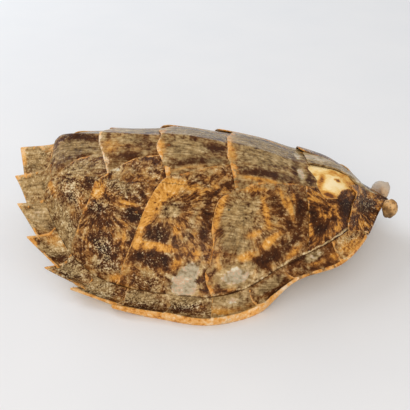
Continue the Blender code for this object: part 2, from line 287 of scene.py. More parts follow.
# %% [markdown]
# ## One tree that lays a sheet of horn on the skin
#
# A plate begins as a flat sheet: its x and y are a place on the skin, and attributes say how far it
# lifts off and how far its tooth reaches. The tree looks the place up, moves the sheet there, makes
# it slightly wavy, and gives it its thickness by extruding a flipped copy inwards. Side plates look
# their place up in the UV map. Back plates cross the keel, so they are drawn in plan, in metres, and
# dropped on the skin from above.

# %% A node with its settings and links
def plug(made, inputs):
    """Gives sockets, by name or by number, their values, or links them to outputs or to whole nodes."""
    for name, value in dict(inputs if isinstance(inputs, dict) else enumerate(inputs)).items():
        if isinstance(name, int):
            socket = made.inputs[name]
        else:
            socket = next(s for s in made.inputs if s.enabled and name in (s.identifier, s.name))
        for one in value if isinstance(value, list) else [value]:
            if isinstance(one, bpy.types.Node):
                one = next(output for output in one.outputs if output.enabled)
            if isinstance(one, bpy.types.NodeSocket):
                made.id_data.links.new(one, socket)
            else:
                socket.default_value = one


def add(tree, kind, inputs=(), stops=(), **settings):
    """Adds a node with its settings, its links and, for a colour ramp, its (place, hex code) stops."""
    made = tree.nodes.new(kind)
    for name, value in settings.items():
        setattr(made, name, value)
    for number, (place, code) in enumerate(stops):
        elements = made.color_ramp.elements
        element = elements[number] if number < 2 else elements.new(place)
        element.position, element.color = place, hex_colour(code)
    plug(made, inputs)
    return made


# %% Colours from sRGB hex
def hex_colour(code):
    """A linear colour, with alpha 1, from an sRGB hex code."""
    parts = [int(code[i:i + 2], 16) / 255 for i in (0, 2, 4)]
    return tuple(c / 12.92 if c <= 0.04045 else ((c + 0.055) / 1.055) ** 2.4 for c in parts) + (1,)


# %% The laying tree
TREE_INPUTS = (
    ("Sheet", "NodeSocketGeometry"), ("Skin", "NodeSocketObject"), ("Thickness", "NodeSocketFloat"),
    ("Wave height", "NodeSocketFloat"), ("Waves per metre", "NodeSocketFloat"), ("Seed", "NodeSocketVector"),
    ("Horn", "NodeSocketMaterial"),
)


def named(tree, name, data_type="FLOAT_VECTOR"):
    """The output that reads a stored attribute."""
    return add(tree, "GeometryNodeInputNamedAttribute", {"Name": name}, data_type=data_type).outputs[0]


def laying_tree(name, from_above):
    tree = bpy.data.node_groups.new(name, "GeometryNodeTree")
    for title, kind in TREE_INPUTS:
        tree.interface.new_socket(title, in_out="INPUT", socket_type=kind)
    tree.interface.new_socket("Plates", in_out="OUTPUT", socket_type="NodeSocketGeometry")
    given = add(tree, "NodeGroupInput").outputs
    target = add(tree, "GeometryNodeObjectInfo", {"Object": given["Skin"]}).outputs["Geometry"]
    spot = add(tree, "GeometryNodeInputPosition").outputs[0]
    out = named(tree, "out")
    if from_above:
        high = add(tree, "ShaderNodeVectorMath", {"Vector": spot, "Vector_001": (0, 0, 1)}, operation="ADD")
        hit = add(tree, "GeometryNodeRaycast", {
            "Target Geometry": target, "Attribute": out, "Source Position": high.outputs[0],
            "Ray Direction": (0, 0, -1), "Ray Length": 2.0}, data_type="FLOAT_VECTOR")
        place = hit.outputs["Hit Position"]
        way = next(o for o in hit.outputs if o.name == "Attribute" and o.enabled)
    else:
        chart = named(tree, "skin")
        skin_position = add(tree, "GeometryNodeInputPosition").outputs[0]
        place, way = (
            next(o for o in add(tree, "GeometryNodeSampleUVSurface", {
                "Mesh": target, "Value": value, "Source UV Map": chart, "Sample UV": spot},
                data_type="FLOAT_VECTOR").outputs if o.name == "Value" and o.enabled)
            for value in (skin_position, out))
    kept = add(tree, "GeometryNodeStoreNamedAttribute",
               {"Geometry": given["Sheet"], "Name": "out", "Value": way}, data_type="FLOAT_VECTOR")
    lift = named(tree, "lift", "FLOAT")
    reach = named(tree, "reach")
    seeded = add(tree, "ShaderNodeVectorMath", (place, given["Seed"]), operation="ADD")
    wave = add(tree, "ShaderNodeTexNoise",
               {"Vector": seeded.outputs[0], "Scale": given["Waves per metre"], "Detail": 2.0})
    centred = add(tree, "ShaderNodeMath", (wave.outputs["Fac"], 0.5), operation="SUBTRACT")
    height = add(tree, "ShaderNodeMath", {
        "Value": centred.outputs[0], "Value_001": given["Wave height"], "Value_002": lift},
        operation="MULTIPLY_ADD")
    rise = add(tree, "ShaderNodeVectorMath", {"Vector": way, "Scale": height.outputs[0]}, operation="SCALE")
    moved = add(tree, "ShaderNodeVectorMath", (place, rise.outputs[0]), operation="ADD")
    reached = add(tree, "ShaderNodeVectorMath", (moved.outputs[0], reach), operation="ADD")
    laid = add(tree, "GeometryNodeSetPosition",
               {"Geometry": kept.outputs["Geometry"], "Position": reached.outputs[0]})
    thin = add(tree, "ShaderNodeMath", {"Value": given["Thickness"], "Value_001": -1.0}, operation="MULTIPLY")
    depth = add(tree, "ShaderNodeVectorMath", {"Vector": out, "Scale": thin.outputs[0]}, operation="SCALE")
    flipped = add(tree, "GeometryNodeFlipFaces", {"Mesh": laid.outputs[0]})
    wall = add(tree, "GeometryNodeExtrudeMesh", {
        "Mesh": flipped.outputs[0], "Offset": depth.outputs[0], "Offset Scale": 1.0, "Individual": False})
    joined = add(tree, "GeometryNodeJoinGeometry", {"Geometry": [laid.outputs[0], wall.outputs["Mesh"]]})
    closed = add(tree, "GeometryNodeMergeByDistance", {"Geometry": joined.outputs[0], "Distance": 0.000002})
    now = add(tree, "GeometryNodeInputPosition").outputs[0]
    floor = add(tree, "ShaderNodeVectorMath", {"Vector": now, "Vector_001": (-9, -9, 0)}, operation="MAXIMUM")
    above = add(tree, "GeometryNodeSetPosition",
                {"Geometry": closed.outputs[0], "Position": floor.outputs[0]})
    real = add(tree, "GeometryNodeRealizeInstances", {"Geometry": above.outputs[0]})
    finished = add(tree, "GeometryNodeSetMaterial", {"Geometry": real.outputs[0], "Material": given["Horn"]})
    add(tree, "NodeGroupOutput", {"Plates": finished.outputs[0]})
    return tree


trees = {True: laying_tree("lay on from above", True), False: laying_tree("lay on by map", False)}
print("laying trees:", [len(tree.nodes) for tree in trees.values()], "nodes")

# %% [markdown]
# ## Flat sheets between seams
#
# A sheet is a patch between four lines: its rear edge, which is free and lies over the plate behind,
# its front edge, which hides under the plate in front, and its two sides. Each line is a short table
# of (u, v). The patch between them blends the four lines, as a Coons patch does. Rows crowd together
# near the free edges, so that these turn over softly.

# %% Lift and its sizes
LEDGE = 2.0  # mm that a plate's free edge stands over the plate behind
LEDGE_CORNER = 0.7  # mm more, at a flank plate's upper corner
LEDGE_RIM = 1.5  # mm, the same for the rim plates
LEDGE_FADE = 1.3  # how fast the lift falls off forwards
LEDGE_SINK = 0.35  # share of it that a plate's front part lies below the skin
GROOVE = 0.7  # mm that the seam between flank and rim plates lies below the skin
HORN = 1.2  # mm of thickness


def smooth_step(x, low, high):
    t = np.clip((x - low) / (high - low), 0, 1)
    return t * t * (3 - 2 * t)


def crowded(count, free_start=True, free_end=False):
    """Shares from 0 to 1, crowded at the ends that are free edges."""
    tight = (0, 0.005, 0.014, 0.028)
    start = tight if free_start else (0,)
    end = tuple(1 - s for s in reversed(tight)) if free_end else (1,)
    middle = np.linspace(start[-1], end[0], count)[1:-1]
    return np.concatenate([start, middle, end])


def edge_round(share):
    """How much of the horn's thickness is rounded off near a free edge, where share is 0."""
    return 0.55 * np.clip(1 - share / 0.028, 0, 1) ** 2


def coons(rear, front, medial, lateral, p, q):
    """Places on the patch at shares p, from rear to front, and q, from keel side to rim side."""
    def line(table, key, share):
        table = np.array(table, float)
        keys = table[:, key]
        at = keys[0] + (keys[-1] - keys[0]) * share
        other = smooth_through(np.stack([keys, table[:, 1 - key]], 1), at)
        return np.stack([at, other] if key == 0 else [other, at], -1)

    rear_q, front_q = line(rear, 1, q), line(front, 1, q)
    medial_p, lateral_p = line(medial, 0, p), line(lateral, 0, p)
    p, q = p[:, None], q[:, None]
    corners = (
        (1 - p)[:, None] * (1 - q) * rear_q[0] + (1 - p)[:, None] * q * rear_q[-1]
        + p[:, None] * (1 - q) * front_q[0] + p[:, None] * q * front_q[-1]
    )
    return (
        (1 - p)[:, None] * rear_q[None] + p[:, None] * front_q[None]
        + (1 - q)[None] * medial_p[:, None] + q[None] * lateral_p[:, None] - corners
    )


# %% Ragged edges
def ragged(along, seed, size=1.0):
    """A gentle, repeatable waver along an edge, with a few nicks, between about -1 and 1."""
    return np.array([
        size * (noise.noise((a * 0.13, seed, 0)) + 0.5 * noise.noise((a * 0.45, seed, 4))
                + 0.5 * min(0, noise.noise((a * 0.3, seed, 9)) + 0.25))
        for a in np.atleast_1d(along)])


# %% [markdown]
# ## The camera, and what lies behind a pixel
#
# The camera looks at the right flank from 34 degrees up, from where plates on both sides of the keel
# show as they do in the picture. It is made before the plates, because their seams and colours are
# written down in pixels of the picture. Each pixel belongs to one point of the skin, the one
# that the camera sees there, and a search tree finds it. What is written down so lies on its plate,
# seen from any side, and no material knows where the camera is.

# %% Set up the camera
AIM = Vector((-MIDDLE_X, 0, 31)) * MM
DISTANCE = 0.65
AZIMUTH, ELEVATION = math.radians(1), math.radians(34)
SENSOR, LENS = 36, 57.07  # mm
PICTURE = 410  # pixels on each side

level = math.cos(ELEVATION)
back = Vector((math.sin(AZIMUTH) * level, -math.cos(AZIMUTH) * level, math.sin(ELEVATION)))
lens = bpy.data.cameras.new("camera")
lens.sensor_width, lens.lens = SENSOR, LENS
camera = put("camera", lens)
camera.location = AIM + back * DISTANCE
camera.rotation_euler = (-back).to_track_quat("-Z", "Y").to_euler()
bpy.context.scene.camera = camera


# %% From the picture to the skin
def in_picture(points):
    """Where the camera sees points given in millimetres: pixels across and down."""
    local = (points * MM - np.array(camera.location)) @ np.array(camera.rotation_euler.to_matrix())
    return PICTURE / 2 + PICTURE * LENS / SENSOR * local[:, :2] / -local[:, 2:] * (1, -1)


flank_u, flank_v = (
    a.ravel() for a in np.meshgrid(np.linspace(0, LAST_U, 1121), np.linspace(0, 3, 301), indexing="ij"))
right_flank = skin(flank_u, -flank_v)
pixels_seen = KDTree(len(right_flank))
for number, pixel in enumerate(in_picture(right_flank)):
    pixels_seen.insert((*pixel, 0), number)
pixels_seen.balance()


def number_at(pixel):
    """The number of the right flank's grid point that the camera sees nearest to this pixel."""
    return pixels_seen.find((*pixel, 0))[1]


def seen_at(*pixels):
    """Where on the skin these pixels lie, as pairs (u, v)."""
    numbers = [number_at(pixel) for pixel in pixels]
    return tuple((float(flank_u[number]), float(flank_v[number])) for number in numbers)


middle_u, middle_v = seen_at((PICTURE / 2, PICTURE / 2))[0]
print("camera:", round(DISTANCE / MM), "mm away; midway it sees", round(middle_u, 2), round(middle_v, 2))

# %% [markdown]
# ## Where the colours lie
#
# Tortoiseshell is horn with dark pigment laid down in bursts as it grows, so its flames point away
# from the place where each plate began. Streaks can be left to noise, but the eye also knows the big
# blotches of this one shell. They are soft ellipses placed plate by plate, where the picture
# shows them: amber, dark, bloom (the dull olive of dry horn), worn (grey, where the surface is rubbed
# through) and specks (gritty, where pale dry horn is scattered). Laid on the skin, each becomes an
# ellipse in plan. Each point of a sheet keeps their sum, and the material lets noise break them up.

# %% Place the blotches
# Plates by letter: A to E on the flank, V1 to V5 on the back and M1 to M12 on the rim, all counted
# from the neck, and N beside the neck. A blotch is, in pixels of the picture: its middle, across and
# down, half its long axis, across and down, and half its width; and then its amount. The left flank
# takes them mirrored. On the bone, amber is a stain and dark takes a stain away.
LEAST_HALF = 2  # mm
BLOTCHES = {
    "E": {
        "amber": (
            (62, 166, 12, -6, 4, 0.6), (80, 200, 4, 12, 5, 0.5), (60, 222, 3, 16, 5, 0.4),
            (51, 184, 3, 9, 3, 0.9),
        ),
        "dark": (
            (89, 183, 5, 3, 6, 1.1), (70, 197, 5, 8, 4, 0.6), (80, 226, 3, 18, 5, 0.7),
            (92, 262, 10, 8, 5, 0.5),
        ),
        "bloom": ((62, 226, 4, 24, 11, 0.9),),
        "worn": ((80, 167, 20, -2, 6, 0.45), (76, 240, 4, 8, 3, 0.5),),
        "specks": ((72, 190, 3, 14, 9, 1.0), (66, 226, 3, 22, 9, 0.5), (95, 262, 12, 8, 6, 0.9),),
    },
    "D": {
        "amber": (
            (120, 170, 14, 3, 5, 0.5), (122, 161, 20, -5, 3, 0.5), (98, 190, 6, -9, 9, 1.1),
            (127, 204, 12, 2, 4, 0.9), (122, 236, 4, -14, 4, 0.9), (116, 278, 7, 4, 5, 1.0),
        ),
        "dark": (
            (98, 210, 10, 4, 7, 0.9), (102, 222, 11, 1, 5, 0.9), (103, 244, 6, 13, 10, 0.8),
            (133, 214, 9, 2, 8, 1.9), (132, 238, 3, 8, 4, 0.6), (134, 250, -4, 10, 4, 0.9),
            (120, 240, -2, 14, 2, 0.7), (112, 268, 12, 5, 6, 0.5),
        ),
        "bloom": ((120, 186, 16, 4, 8, 0.7), (110, 268, 18, 6, 8, 0.2),),
        "worn": ((118, 170, 22, 3, 6, 0.7), (97, 264, 3, 5, 3, 0.5),),
        "specks": (
            (118, 188, 18, 5, 8, 0.7), (100, 207, 11, 4, 7, 1.0), (103, 244, 6, 13, 10, 1.2),
            (110, 266, 18, 6, 8, 0.8),
        ),
    },
    "C": {
        "amber": (
            (162, 190, 16, -8, 10, 1.5), (151, 207, -8, 16, 8, 1.1), (141, 232, -4, 12, 5, 0.9),
            (139, 246, 3, 5, 5, 1.0), (158, 246, 17, 3, 3, 1.9), (175, 232, -3, 8, 4, 0.8),
            (176, 263, 3, -6, 4, 1.1), (196, 256, 4, -8, 5, 0.7), (190, 187, 18, 4, 5, 0.6),
        ),
        "dark": (
            (158, 234, 15, 3, 8, 1.7), (153, 258, 20, 4, 8, 1.7), (183, 206, 8, -6, 6, 0.5),
            (206, 222, -3, 24, 5, 0.9), (148, 281, 14, 6, 8, 0.5), (206, 282, 0, 16, 4, 0.8),
        ),
        "bloom": ((170, 208, 8, -8, 7, 0.8), (148, 281, 20, 8, 11, 0.2),),
        "worn": (
            (178, 212, 5, -9, 4, 0.6), (191, 224, 6, -15, 4, 0.6), (184, 286, 16, -3, 14, 1.7),
            (190, 271, 12, -3, 9, 1.5), (195, 262, 8, -6, 6, 0.5), (186, 180, 20, 4, 4, 0.4),
        ),
        "specks": ((158, 234, 15, 3, 8, 0.5), (153, 258, 20, 4, 8, 0.5), (148, 281, 20, 8, 11, 1.0),),
    },
    "B": {
        "amber": (
            (240, 214, 14, 6, 14, 0.3), (220, 210, -7, 24, 4, 0.9), (252, 190, 16, 0, 3, 0.6),
            (266, 212, 4, 16, 3, 1.0), (254, 234, 12, -5, 3, 0.8), (284, 200, 5, 14, 2.5, 0.8),
            (291, 208, 4, 14, 2.5, 1.1), (271, 240, 10, -8, 4, 1.2), (295, 198, 2, 8, 2.5, 1.0),
            (245, 256, 11, -4, 3, 0.8), (294, 250, 9, -9, 4, 0.8), (304, 228, -2, 13, 3, 1.0),
            (254, 274, 4, -7, 3, 1.0), (230, 289, 10, -4, 3, 0.5), (218, 262, 3, 10, 3, 0.6),
        ),
        "dark": (
            (301, 212, 3, 26, 6, 1.3), (290, 222, 5, 14, 4, 0.9), (268, 256, 9, -5, 4, 1.0),
            (286, 248, 16, -12, 7, 1.1), (278, 204, 5, 16, 5, 0.7), (230, 263, 10, 2, 4, 0.5),
            (222, 283, 6, -2, 3, 0.6), (262, 262, 10, -3, 3, 0.6),
        ),
        "bloom": ((240, 216, 16, 8, 24, 1.2), (235, 244, 16, 4, 10, 1.1), (240, 276, 21, -5, 12, 0.9),),
        "worn": ((236, 276, 21, -5, 11, 1.3),),
    },
    "A": {
        "amber": (
            (315, 197, 5, 4, 6, 0.8), (330, 232, 14, -8, 2, 0.8), (338, 212, 3, 12, 4, 1.1),
            (324, 215, 6, 2, 4, 0.8), (311, 228, 2, 9, 3, 0.7),
        ),
        "dark": (
            (314, 218, 4, 14, 5, 0.6), (344, 206, 11, 6, 10, 1.1), (318, 232, 8, 6, 5, 0.8),
            (326, 229, 11, 4, 5, 0.9), (312, 212, 3, 6, 4, 0.6),
        ),
    },
    "V5": {
        "amber": ((88, 160, 8, -2, 3, 0.6),),
        "dark": ((79, 137, 20, 0, 4, 1.0), (72, 158, 16, -5, 3, 0.7),),
        "bloom": ((76, 148, 20, -2, 7, 1.0),),
    },
    "V4": {
        "amber": ((112, 146, 12, -4, 8, 0.6),),
        "dark": ((132, 158, 18, 1, 6, 0.9), (146, 143, 12, 2, 6, 0.6),),
        "bloom": ((124, 140, 14, 0, 4, 0.5),),
        "worn": ((103, 137, 4, 4, 3, 0.5),),
    },
    "V3": {
        "amber": ((161, 146, 4, 9, 6, 0.8), (192, 166, 24, -4, 2, 0.8),),
        "dark": ((214, 148, 14, 2, 6, 0.9), (195, 162, 30, -3, 4, 1.0),),
        "bloom": ((184, 148, 19, 2, 10, 1.0), (214, 160, 9, -1, 3, 0.6),),
    },
    "V2": {
        "amber": ((232, 154, 5, 8, 6, 0.8), (262, 179, 26, 4, 2.5, 1.0),),
        "dark": ((268, 174, 34, 6, 5, 1.0), (310, 180, 2, 8, 3.5, 1.3), (296, 168, 4, 9, 5, 0.8),),
        "bloom": ((264, 156, 24, 6, 9, 1.0),),
        "worn": ((301, 174, 2, 7, 3.5, 1.6), (275, 161, 3, 0, 3, 0.6),),
    },
    "V1": {
        "dark": ((324, 163, 12, 6, 3, 0.5),),
        "worn": ((352, 178, 16, 9, 5, 0.8), (374, 190, 14, 9, 5, 1.3),),
    },
    "M12": {
        "amber": ((24, 156, 3, 10, 4, 1.2),),
        "dark": ((33, 167, 7, 2, 4, 0.9), (42, 152, 5, 6, 3, 0.5),),
        "bloom": ((37, 158, 8, 0, 11, 1.0),),
    },
    "M11": {
        "amber": ((24, 184, 6, 6, 4, 0.6),),
        "dark": ((44, 186, 4, 6, 3, 0.5),),
        "bloom": ((32, 184, 14, 4, 9, 1.0),),
    },
    "M10": {
        "amber": ((52, 212, 8, 3, 9, 0.7),),
        "dark": ((51, 226, 4, 0, 2.5, 1.4),),
        "bloom": ((42, 214, 14, 4, 14, 1.0),),
        "worn": ((36, 216, 9, 7, 11, 0.9),),
    },
    "M9": {
        "amber": ((57, 243, 12, 4, 9, 1.3),),
        "dark": ((58, 258, 12, 3, 4, 1.0),),
        "bloom": ((56, 246, 13, 5, 12, 0.8),),
        "specks": ((56, 246, 13, 6, 12, 0.8),),
    },
    "M8": {
        "dark": ((66, 284, 14, 6, 5, 0.9),),
        "bloom": ((66, 266, 14, 5, 8, 0.8),),
        "worn": ((74, 276, 14, 6, 5, 0.5),),
        "specks": ((70, 272, 16, 7, 10, 0.9),),
    },
    "M7": {
        "amber": ((94, 288, 14, 4, 5, 0.4),),
        "dark": ((90, 299, 14, 5, 3, 1.0),),
        "bloom": ((96, 290, 20, 4, 6, 1.1),),
        "worn": ((100, 297, 12, 3, 4, 0.5),),
        "specks": ((96, 292, 20, 5, 8, 0.8),),
    },
    "M6": {
        "amber": ((132, 298, 16, 4, 4, 0.4),),
        "dark": ((144, 308, 22, 3, 3, 0.9),),
        "bloom": ((134, 298, 24, 4, 5, 1.3),),
        "specks": ((134, 300, 24, 4, 6, 0.9),),
    },
    "M5": {
        "amber": ((184, 302, 14, 0, 3, 0.4), (196, 311, 6, -1, 3, 0.6),),
        "dark": ((182, 309, 24, 2, 5, 1.0),),
        "bloom": ((185, 301, 20, 0, 4, 1.2),),
        "specks": ((183, 305, 22, 1, 6, 0.9),),
    },
    "M4": {
        "amber": ((222, 312, 16, -1, 4, 0.7), (252, 311, 7, -4, 6, 1.0),),
        "dark": ((238, 304, 12, -3, 4, 0.3), (225, 320, 20, -2, 2, 0.7),),
        "bloom": ((226, 298, 13, -2, 3, 0.6),),
        "worn": ((235, 300, 22, -4, 6, 0.9),),
    },
    "M3": {
        "amber": ((293, 274, 4, -4, 6, 1.2),),
        "dark": ((277, 290, 12, -8, 4, 0.5), (277, 293, 13, -10, 6, 1.0),),
        "bloom": ((270, 286, 14, -9, 5, 1.0),),
        "worn": ((270, 286, 12, -8, 5, 0.5),),
    },
    "M2": {
        "amber": ((334, 257, 4, -4, 6, 1.1), (315, 263, 13, -4, 3, 0.8),),
        "dark": ((300, 256, 12, -9, 3, 0.9),),
        "bloom": ((312, 257, 10, -4, 5, 1.0),),
        "worn": ((314, 256, 9, -4, 5, 1.1), (306, 268, 6, -3, 5, 0.5),),
    },
    "M1": {
        "amber": ((350, 243, 9, -6, 10, 1.0),),
        "dark": ((354, 236, 6, -4, 3, 0.8),),
        "bloom": ((346, 240, 5, -4, 5, 0.8),),
        "specks": ((350, 240, 8, -6, 8, 0.7),),
    },
    "N": {
        "amber": ((358, 192, 8, 6, 5, 0.9), (362, 224, 6, 4, 4, 1.0), (380, 206, 5, 2, 5, 0.9),),
        "dark": ((366, 206, 9, 8, 8, 1.0), (354, 222, 3, 6, 4, 0.7),),
        "specks": ((364, 202, 10, 8, 9, 0.5),),
    },
    "bone": {
        "amber": (
            (321, 181, 4, 1, 10, 0.9), (330, 194, 10, 3, 4, 1.2), (340, 173, 12, 3, 4, 0.8),
            (352, 183, 6, 4, 5, 0.9), (337, 179, 3, 1.2, 1.2, 3.0), (312, 172, 4, 3, 3, 0.4),
            (314, 184, 3, 4, 2, 0.9),
        ),
        "dark": ((333, 183, 8, 3, 6, 0.6),),
    },
}


def plan_at(pixel):
    """The place in plan that shows at this pixel, in millimetres."""
    return right_flank[number_at(pixel)][:2]


def on_skin(across, down, long_x, long_y, half_width):
    """A blotch of the picture as an ellipse in plan: its middle, its two axes and their half lengths."""
    long_half = np.array((long_x, long_y))
    wide_half = np.array((-long_y, long_x)) / np.hypot(long_x, long_y) * half_width
    middle = np.array((across, down))
    halves = [plan_at(middle + half / 2) - plan_at(middle - half / 2) for half in (long_half, wide_half)]
    axes, sizes, _ = np.linalg.svd(np.stack(halves, 1))
    return plan_at(middle), axes, np.maximum(sizes, LEAST_HALF)


blotches = {
    plate: [(kind, amount, *on_skin(*spot)) for kind, rows in kinds.items() for *spot, amount in rows]
    for plate, kinds in BLOTCHES.items()}

# The grey of the foremost back plate is painted sheen, light reflected at a grazing angle, laid on as
# a worn blotch. It shows too thinly along the keel to be placed by pixels, so it is given in plan: its
# middle and its half length and half width in mm, and its turn.
GREY_SHEEN_MIDDLE, GREY_SHEEN_HALVES, GREY_SHEEN_TURN, GREY_SHEEN_AMOUNT = (98, -16), (42, 9), math.radians(-8), 1.15
grey_sheen_axes = np.array((
    (math.cos(GREY_SHEEN_TURN), -math.sin(GREY_SHEEN_TURN)),
    (math.sin(GREY_SHEEN_TURN), math.cos(GREY_SHEEN_TURN))))
blotches["V1"].append(("worn", GREY_SHEEN_AMOUNT, GREY_SHEEN_MIDDLE, grey_sheen_axes, GREY_SHEEN_HALVES))


def blotted(plate, x, y):
    """Amber (dark where negative), bloom, worn and specks, at places in plan on one plate."""
    sums = {kind: 0 * x for kind in ("amber", "dark", "bloom", "worn", "specks")}
    for kind, amount, middle, axes, halves in blotches[plate]:
        away = np.stack([x, -np.abs(y)], -1) - middle
        far = np.linalg.norm(away @ axes / halves, axis=-1)
        sums[kind] = sums[kind] + amount * (1 - smooth_step(far, 0.2, 1.5))
    amber = np.clip(sums["amber"] - sums["dark"], -1.2, 1.2)
    return np.stack([amber] + [np.clip(sums[kind], 0, 1.3) for kind in ("bloom", "worn")], -1), sums["specks"]


print("blotches:", sum(len(rows) for rows in blotches.values()), "on", len(blotches), "plates")

# %% What each plate is like
# Width in mm of the clear horn along the rear edge and along the keel side, how pale that is, the
# plate's own amount of amber (dark where negative), of bloom and of specks, and how far it is
# streaked along its growth.
PLATES = {
    "A": (1.2, 1.6, 0.1, -0.5, -0.4, 0.2, 0.8), "B": (4.0, 3.0, 0.1, 0.0, 0.3, 0.2, 0.65),
    "C": (3.5, 2.2, 0.1, 0.0, 0.2, 0.3, 0.75), "D": (2.4, 1.6, 0.1, -0.1, 0.2, 0.6, 0.75),
    "E": (1.8, 1.6, 0.2, 0.0, 0.5, 0.8, 0.65), "N": (1.2, 0.9, 0.4, -0.3, -0.3, 0.6, 0.8),
    "V1": (0.1, 0.1, 0.3, 0.1, 1.2, -0.3, 0.1), "V2": (3.4, 0.1, 0.1, 0.05, 0.6, -0.2, 0.35),
    "V3": (3.4, 0.1, 0.3, 0.05, 0.6, -0.2, 0.35), "V4": (3.0, 0.1, 0.9, 0.05, 0.6, -0.1, 0.35),
    "V5": (1.4, 0.1, 0.2, -0.1, 0.6, 0.2, 0.45),
    "M12": (3.5, 0.1, 0.5, 0.4, 0.9, 0.8, 0.5), "M11": (2.2, 0.1, 0.5, 0.4, 1.0, 0.7, 0.5),
    "M10": (1.6, 0.1, 0.4, 0.4, 0.8, 0.6, 0.5), "M9": (1.6, 0.1, 0.2, 0.0, 0.5, 0.5, 0.4),
    "M8": (1.6, 0.1, 0.2, -0.1, 0.3, 0.8, 0.6), "M7": (1.6, 0.1, 0.2, -0.1, 0.3, 0.8, 0.6),
    "M6": (1.4, 0.1, 0.2, 0.0, 0.5, 0.7, 0.6), "M5": (0.9, 0.1, 0.2, 0.0, 0.6, 0.7, 0.6),
    "M4": (1.2, 0.1, 0.4, 0.2, 0.7, 0.2, 0.4), "M3": (1.6, 0.1, 0.4, -0.2, 0.3, 0.1, 0.4),
    "M2": (1.2, 0.1, 0.2, -0.5, 0.1, 0.1, 0.4), "M1": (2.0, 0.1, 0.1, 0.1, 0.4, 0.5, 0.6),
}
# How amber the lip is along the rim's edge, with its painted glow.
LIP = {
    "M12": 0.9, "M11": 0.8, "M10": 0.7, "M9": 0.9, "M8": 0.8, "M7": 1.2, "M6": 1.5, "M5": 1.6,
    "M4": 1.2, "M3": 1.3, "M2": 1.0, "M1": 1.1, "N": 0.5,
}
CLEAR_WIDEST, CLEAR_TAPER = 1.1, 0.7
# Painted sheen: the left flank, seen at a grazing angle, is greyed all over with bloom for the light it
# reflects.
LEFT_FLANK_SHEEN = 0.6  # of bloom, all over the left flank
PALE_SEAM = {"A": 1.0, "B": 0.75, "C": 0.3}  # how plainly the seam with the rim plates shows as a pale line


# %% A sheet of horn as a mesh
class Sheets:
    """Collects the flat sheets of several plates, with what the nodes need to know of each point."""

    def __init__(self):
        self.points, self.faces, self.count = [], [], 0
        self.notes = {}

    def add(self, place, solid, p, q, lift, reach, centre, name, number, flip, lip=0, crease=99):
        """place is the flat grid, solid the same grid laid on the skin, in millimetres."""
        columns, rows = place.shape[:2]
        faces = grid_faces(columns, rows)
        self.faces.append((faces[:, ::-1] if flip else faces) + self.count)
        self.count += columns * rows
        flat = np.zeros((columns, rows, 3))
        flat[..., :2] = place
        self.points.append(flat.reshape(-1, 3))
        step_p = np.linalg.norm(np.diff(solid, axis=0), axis=2)
        step_q = np.linalg.norm(np.diff(solid, axis=1), axis=2)
        from_rear = np.vstack([np.zeros((1, rows)), np.cumsum(step_p, axis=0)])
        from_side = np.hstack([np.zeros((columns, 1)), np.cumsum(step_q, axis=1)])
        i = np.abs(p - centre[0]).argmin()
        j = np.abs(q - centre[1]).argmin()
        away = solid - solid[i, j]
        forwards = solid[-1, j] - solid[0, j]
        forwards /= np.linalg.norm(forwards)
        sideways = solid[i, -1] - solid[i, 0]
        sideways -= forwards * (sideways @ forwards)
        sideways /= np.linalg.norm(sideways)
        radius = np.linalg.norm(away, axis=2)
        along, aside = away @ forwards, away @ sideways
        turn = np.hypot(along, aside) + 1e-6
        tint, specks = blotted(name, solid[..., 0], solid[..., 1])
        # Painted sheen: bloom laid over the left flank.
        tint[..., 1] += LEFT_FLANK_SHEEN * smooth_step(solid[..., 1], 4, 16)
        glow = np.array(PLATES[name][:3]) + 0 * solid
        if name in "ABCDE":  # the clear edge of a flank plate narrows towards the rim
            glow[..., 0] *= CLEAR_WIDEST - CLEAR_TAPER * q[None, :]
        notes = {
            "lift": lift[..., None] * MM, "reach": reach * MM,
            "ray": np.stack([along / turn, aside / turn, radius], -1),
            "edge": np.stack([from_rear, from_side, lip + 0 * from_side], -1),
            "glow": glow,
            "tint": tint + (*PLATES[name][3:5], 0),
            "marks": np.stack([specks + PLATES[name][5], crease + 0 * specks, number + 0 * specks], -1),
            "seam": np.stack([from_side[:, -1:] - from_side, PALE_SEAM.get(name, 0) + 0 * specks,
                              PLATES[name][6] + 0 * specks], -1),
        }
        for key, values in notes.items():
            self.notes.setdefault(key, []).append(values.reshape(columns * rows, -1))

    def mesh(self, name):
        mesh = mesh_of(name, np.vstack(self.points), np.vstack(self.faces))
        for key, values in self.notes.items():
            values = np.vstack(values)
            store(mesh, key, values, "FLOAT_VECTOR" if values.shape[1] == 3 else "FLOAT")
        return mesh


def laid(place):
    """A grid of (u, v) laid on the skin, in millimetres."""
    return skin(place[..., 0].ravel(), place[..., 1].ravel()).reshape(*place.shape[:2], 3)


# %% [markdown]
# ## Flank plates
#
# Five big plates cover each flank. Their rear and upper edges are free. Where the picture shows a
# seam, its bends are pixels, read onto the skin. Where it is hidden, they are pairs (u, v): the front
# lines reach a little past the next plate's edge, because they lie under it. On the left flank the
# upper corners have curled up a little, and on the right the plate nearest the neck is broken back
# along the bare patch.

# %% Seams that the picture shows
# Rear edges, from the keel side outwards.
REARS_SEEN = {
    "E": ((53.6, 178), (49, 184)),
    "D": ((95.7, 180.7), (89.5, 198.6), (82.3, 214.6), (77.9, 229), (72.5, 243.5)),
    "C": ((152.6, 193.3), (144, 210.5), (138.3, 226.7), (132, 243), (122.3, 266.6)),
    "B": ((214, 213), (211.8, 231), (212.9, 244), (211.8, 252), (209, 265), (205, 273.5)),
    "A": ((307.7, 203), (308.8, 217), (308.8, 231)),
    "N": ((355.4, 197.5), (352.6, 203.5), (350.4, 215.5), (348.2, 223)),
    "V4": ((99.5, 133), (98.8, 139.2), (101.8, 152.2), (106.4, 168.3), (108.5, 173)),
    "V3": ((160.8, 135.3), (156.5, 146.4), (159.3, 155), (163.2, 163.6), (167, 176)),
    "V2": ((227.3, 144.5), (227.3, 155), (231, 167.4), (234, 180.8), (236.5, 188)),
}
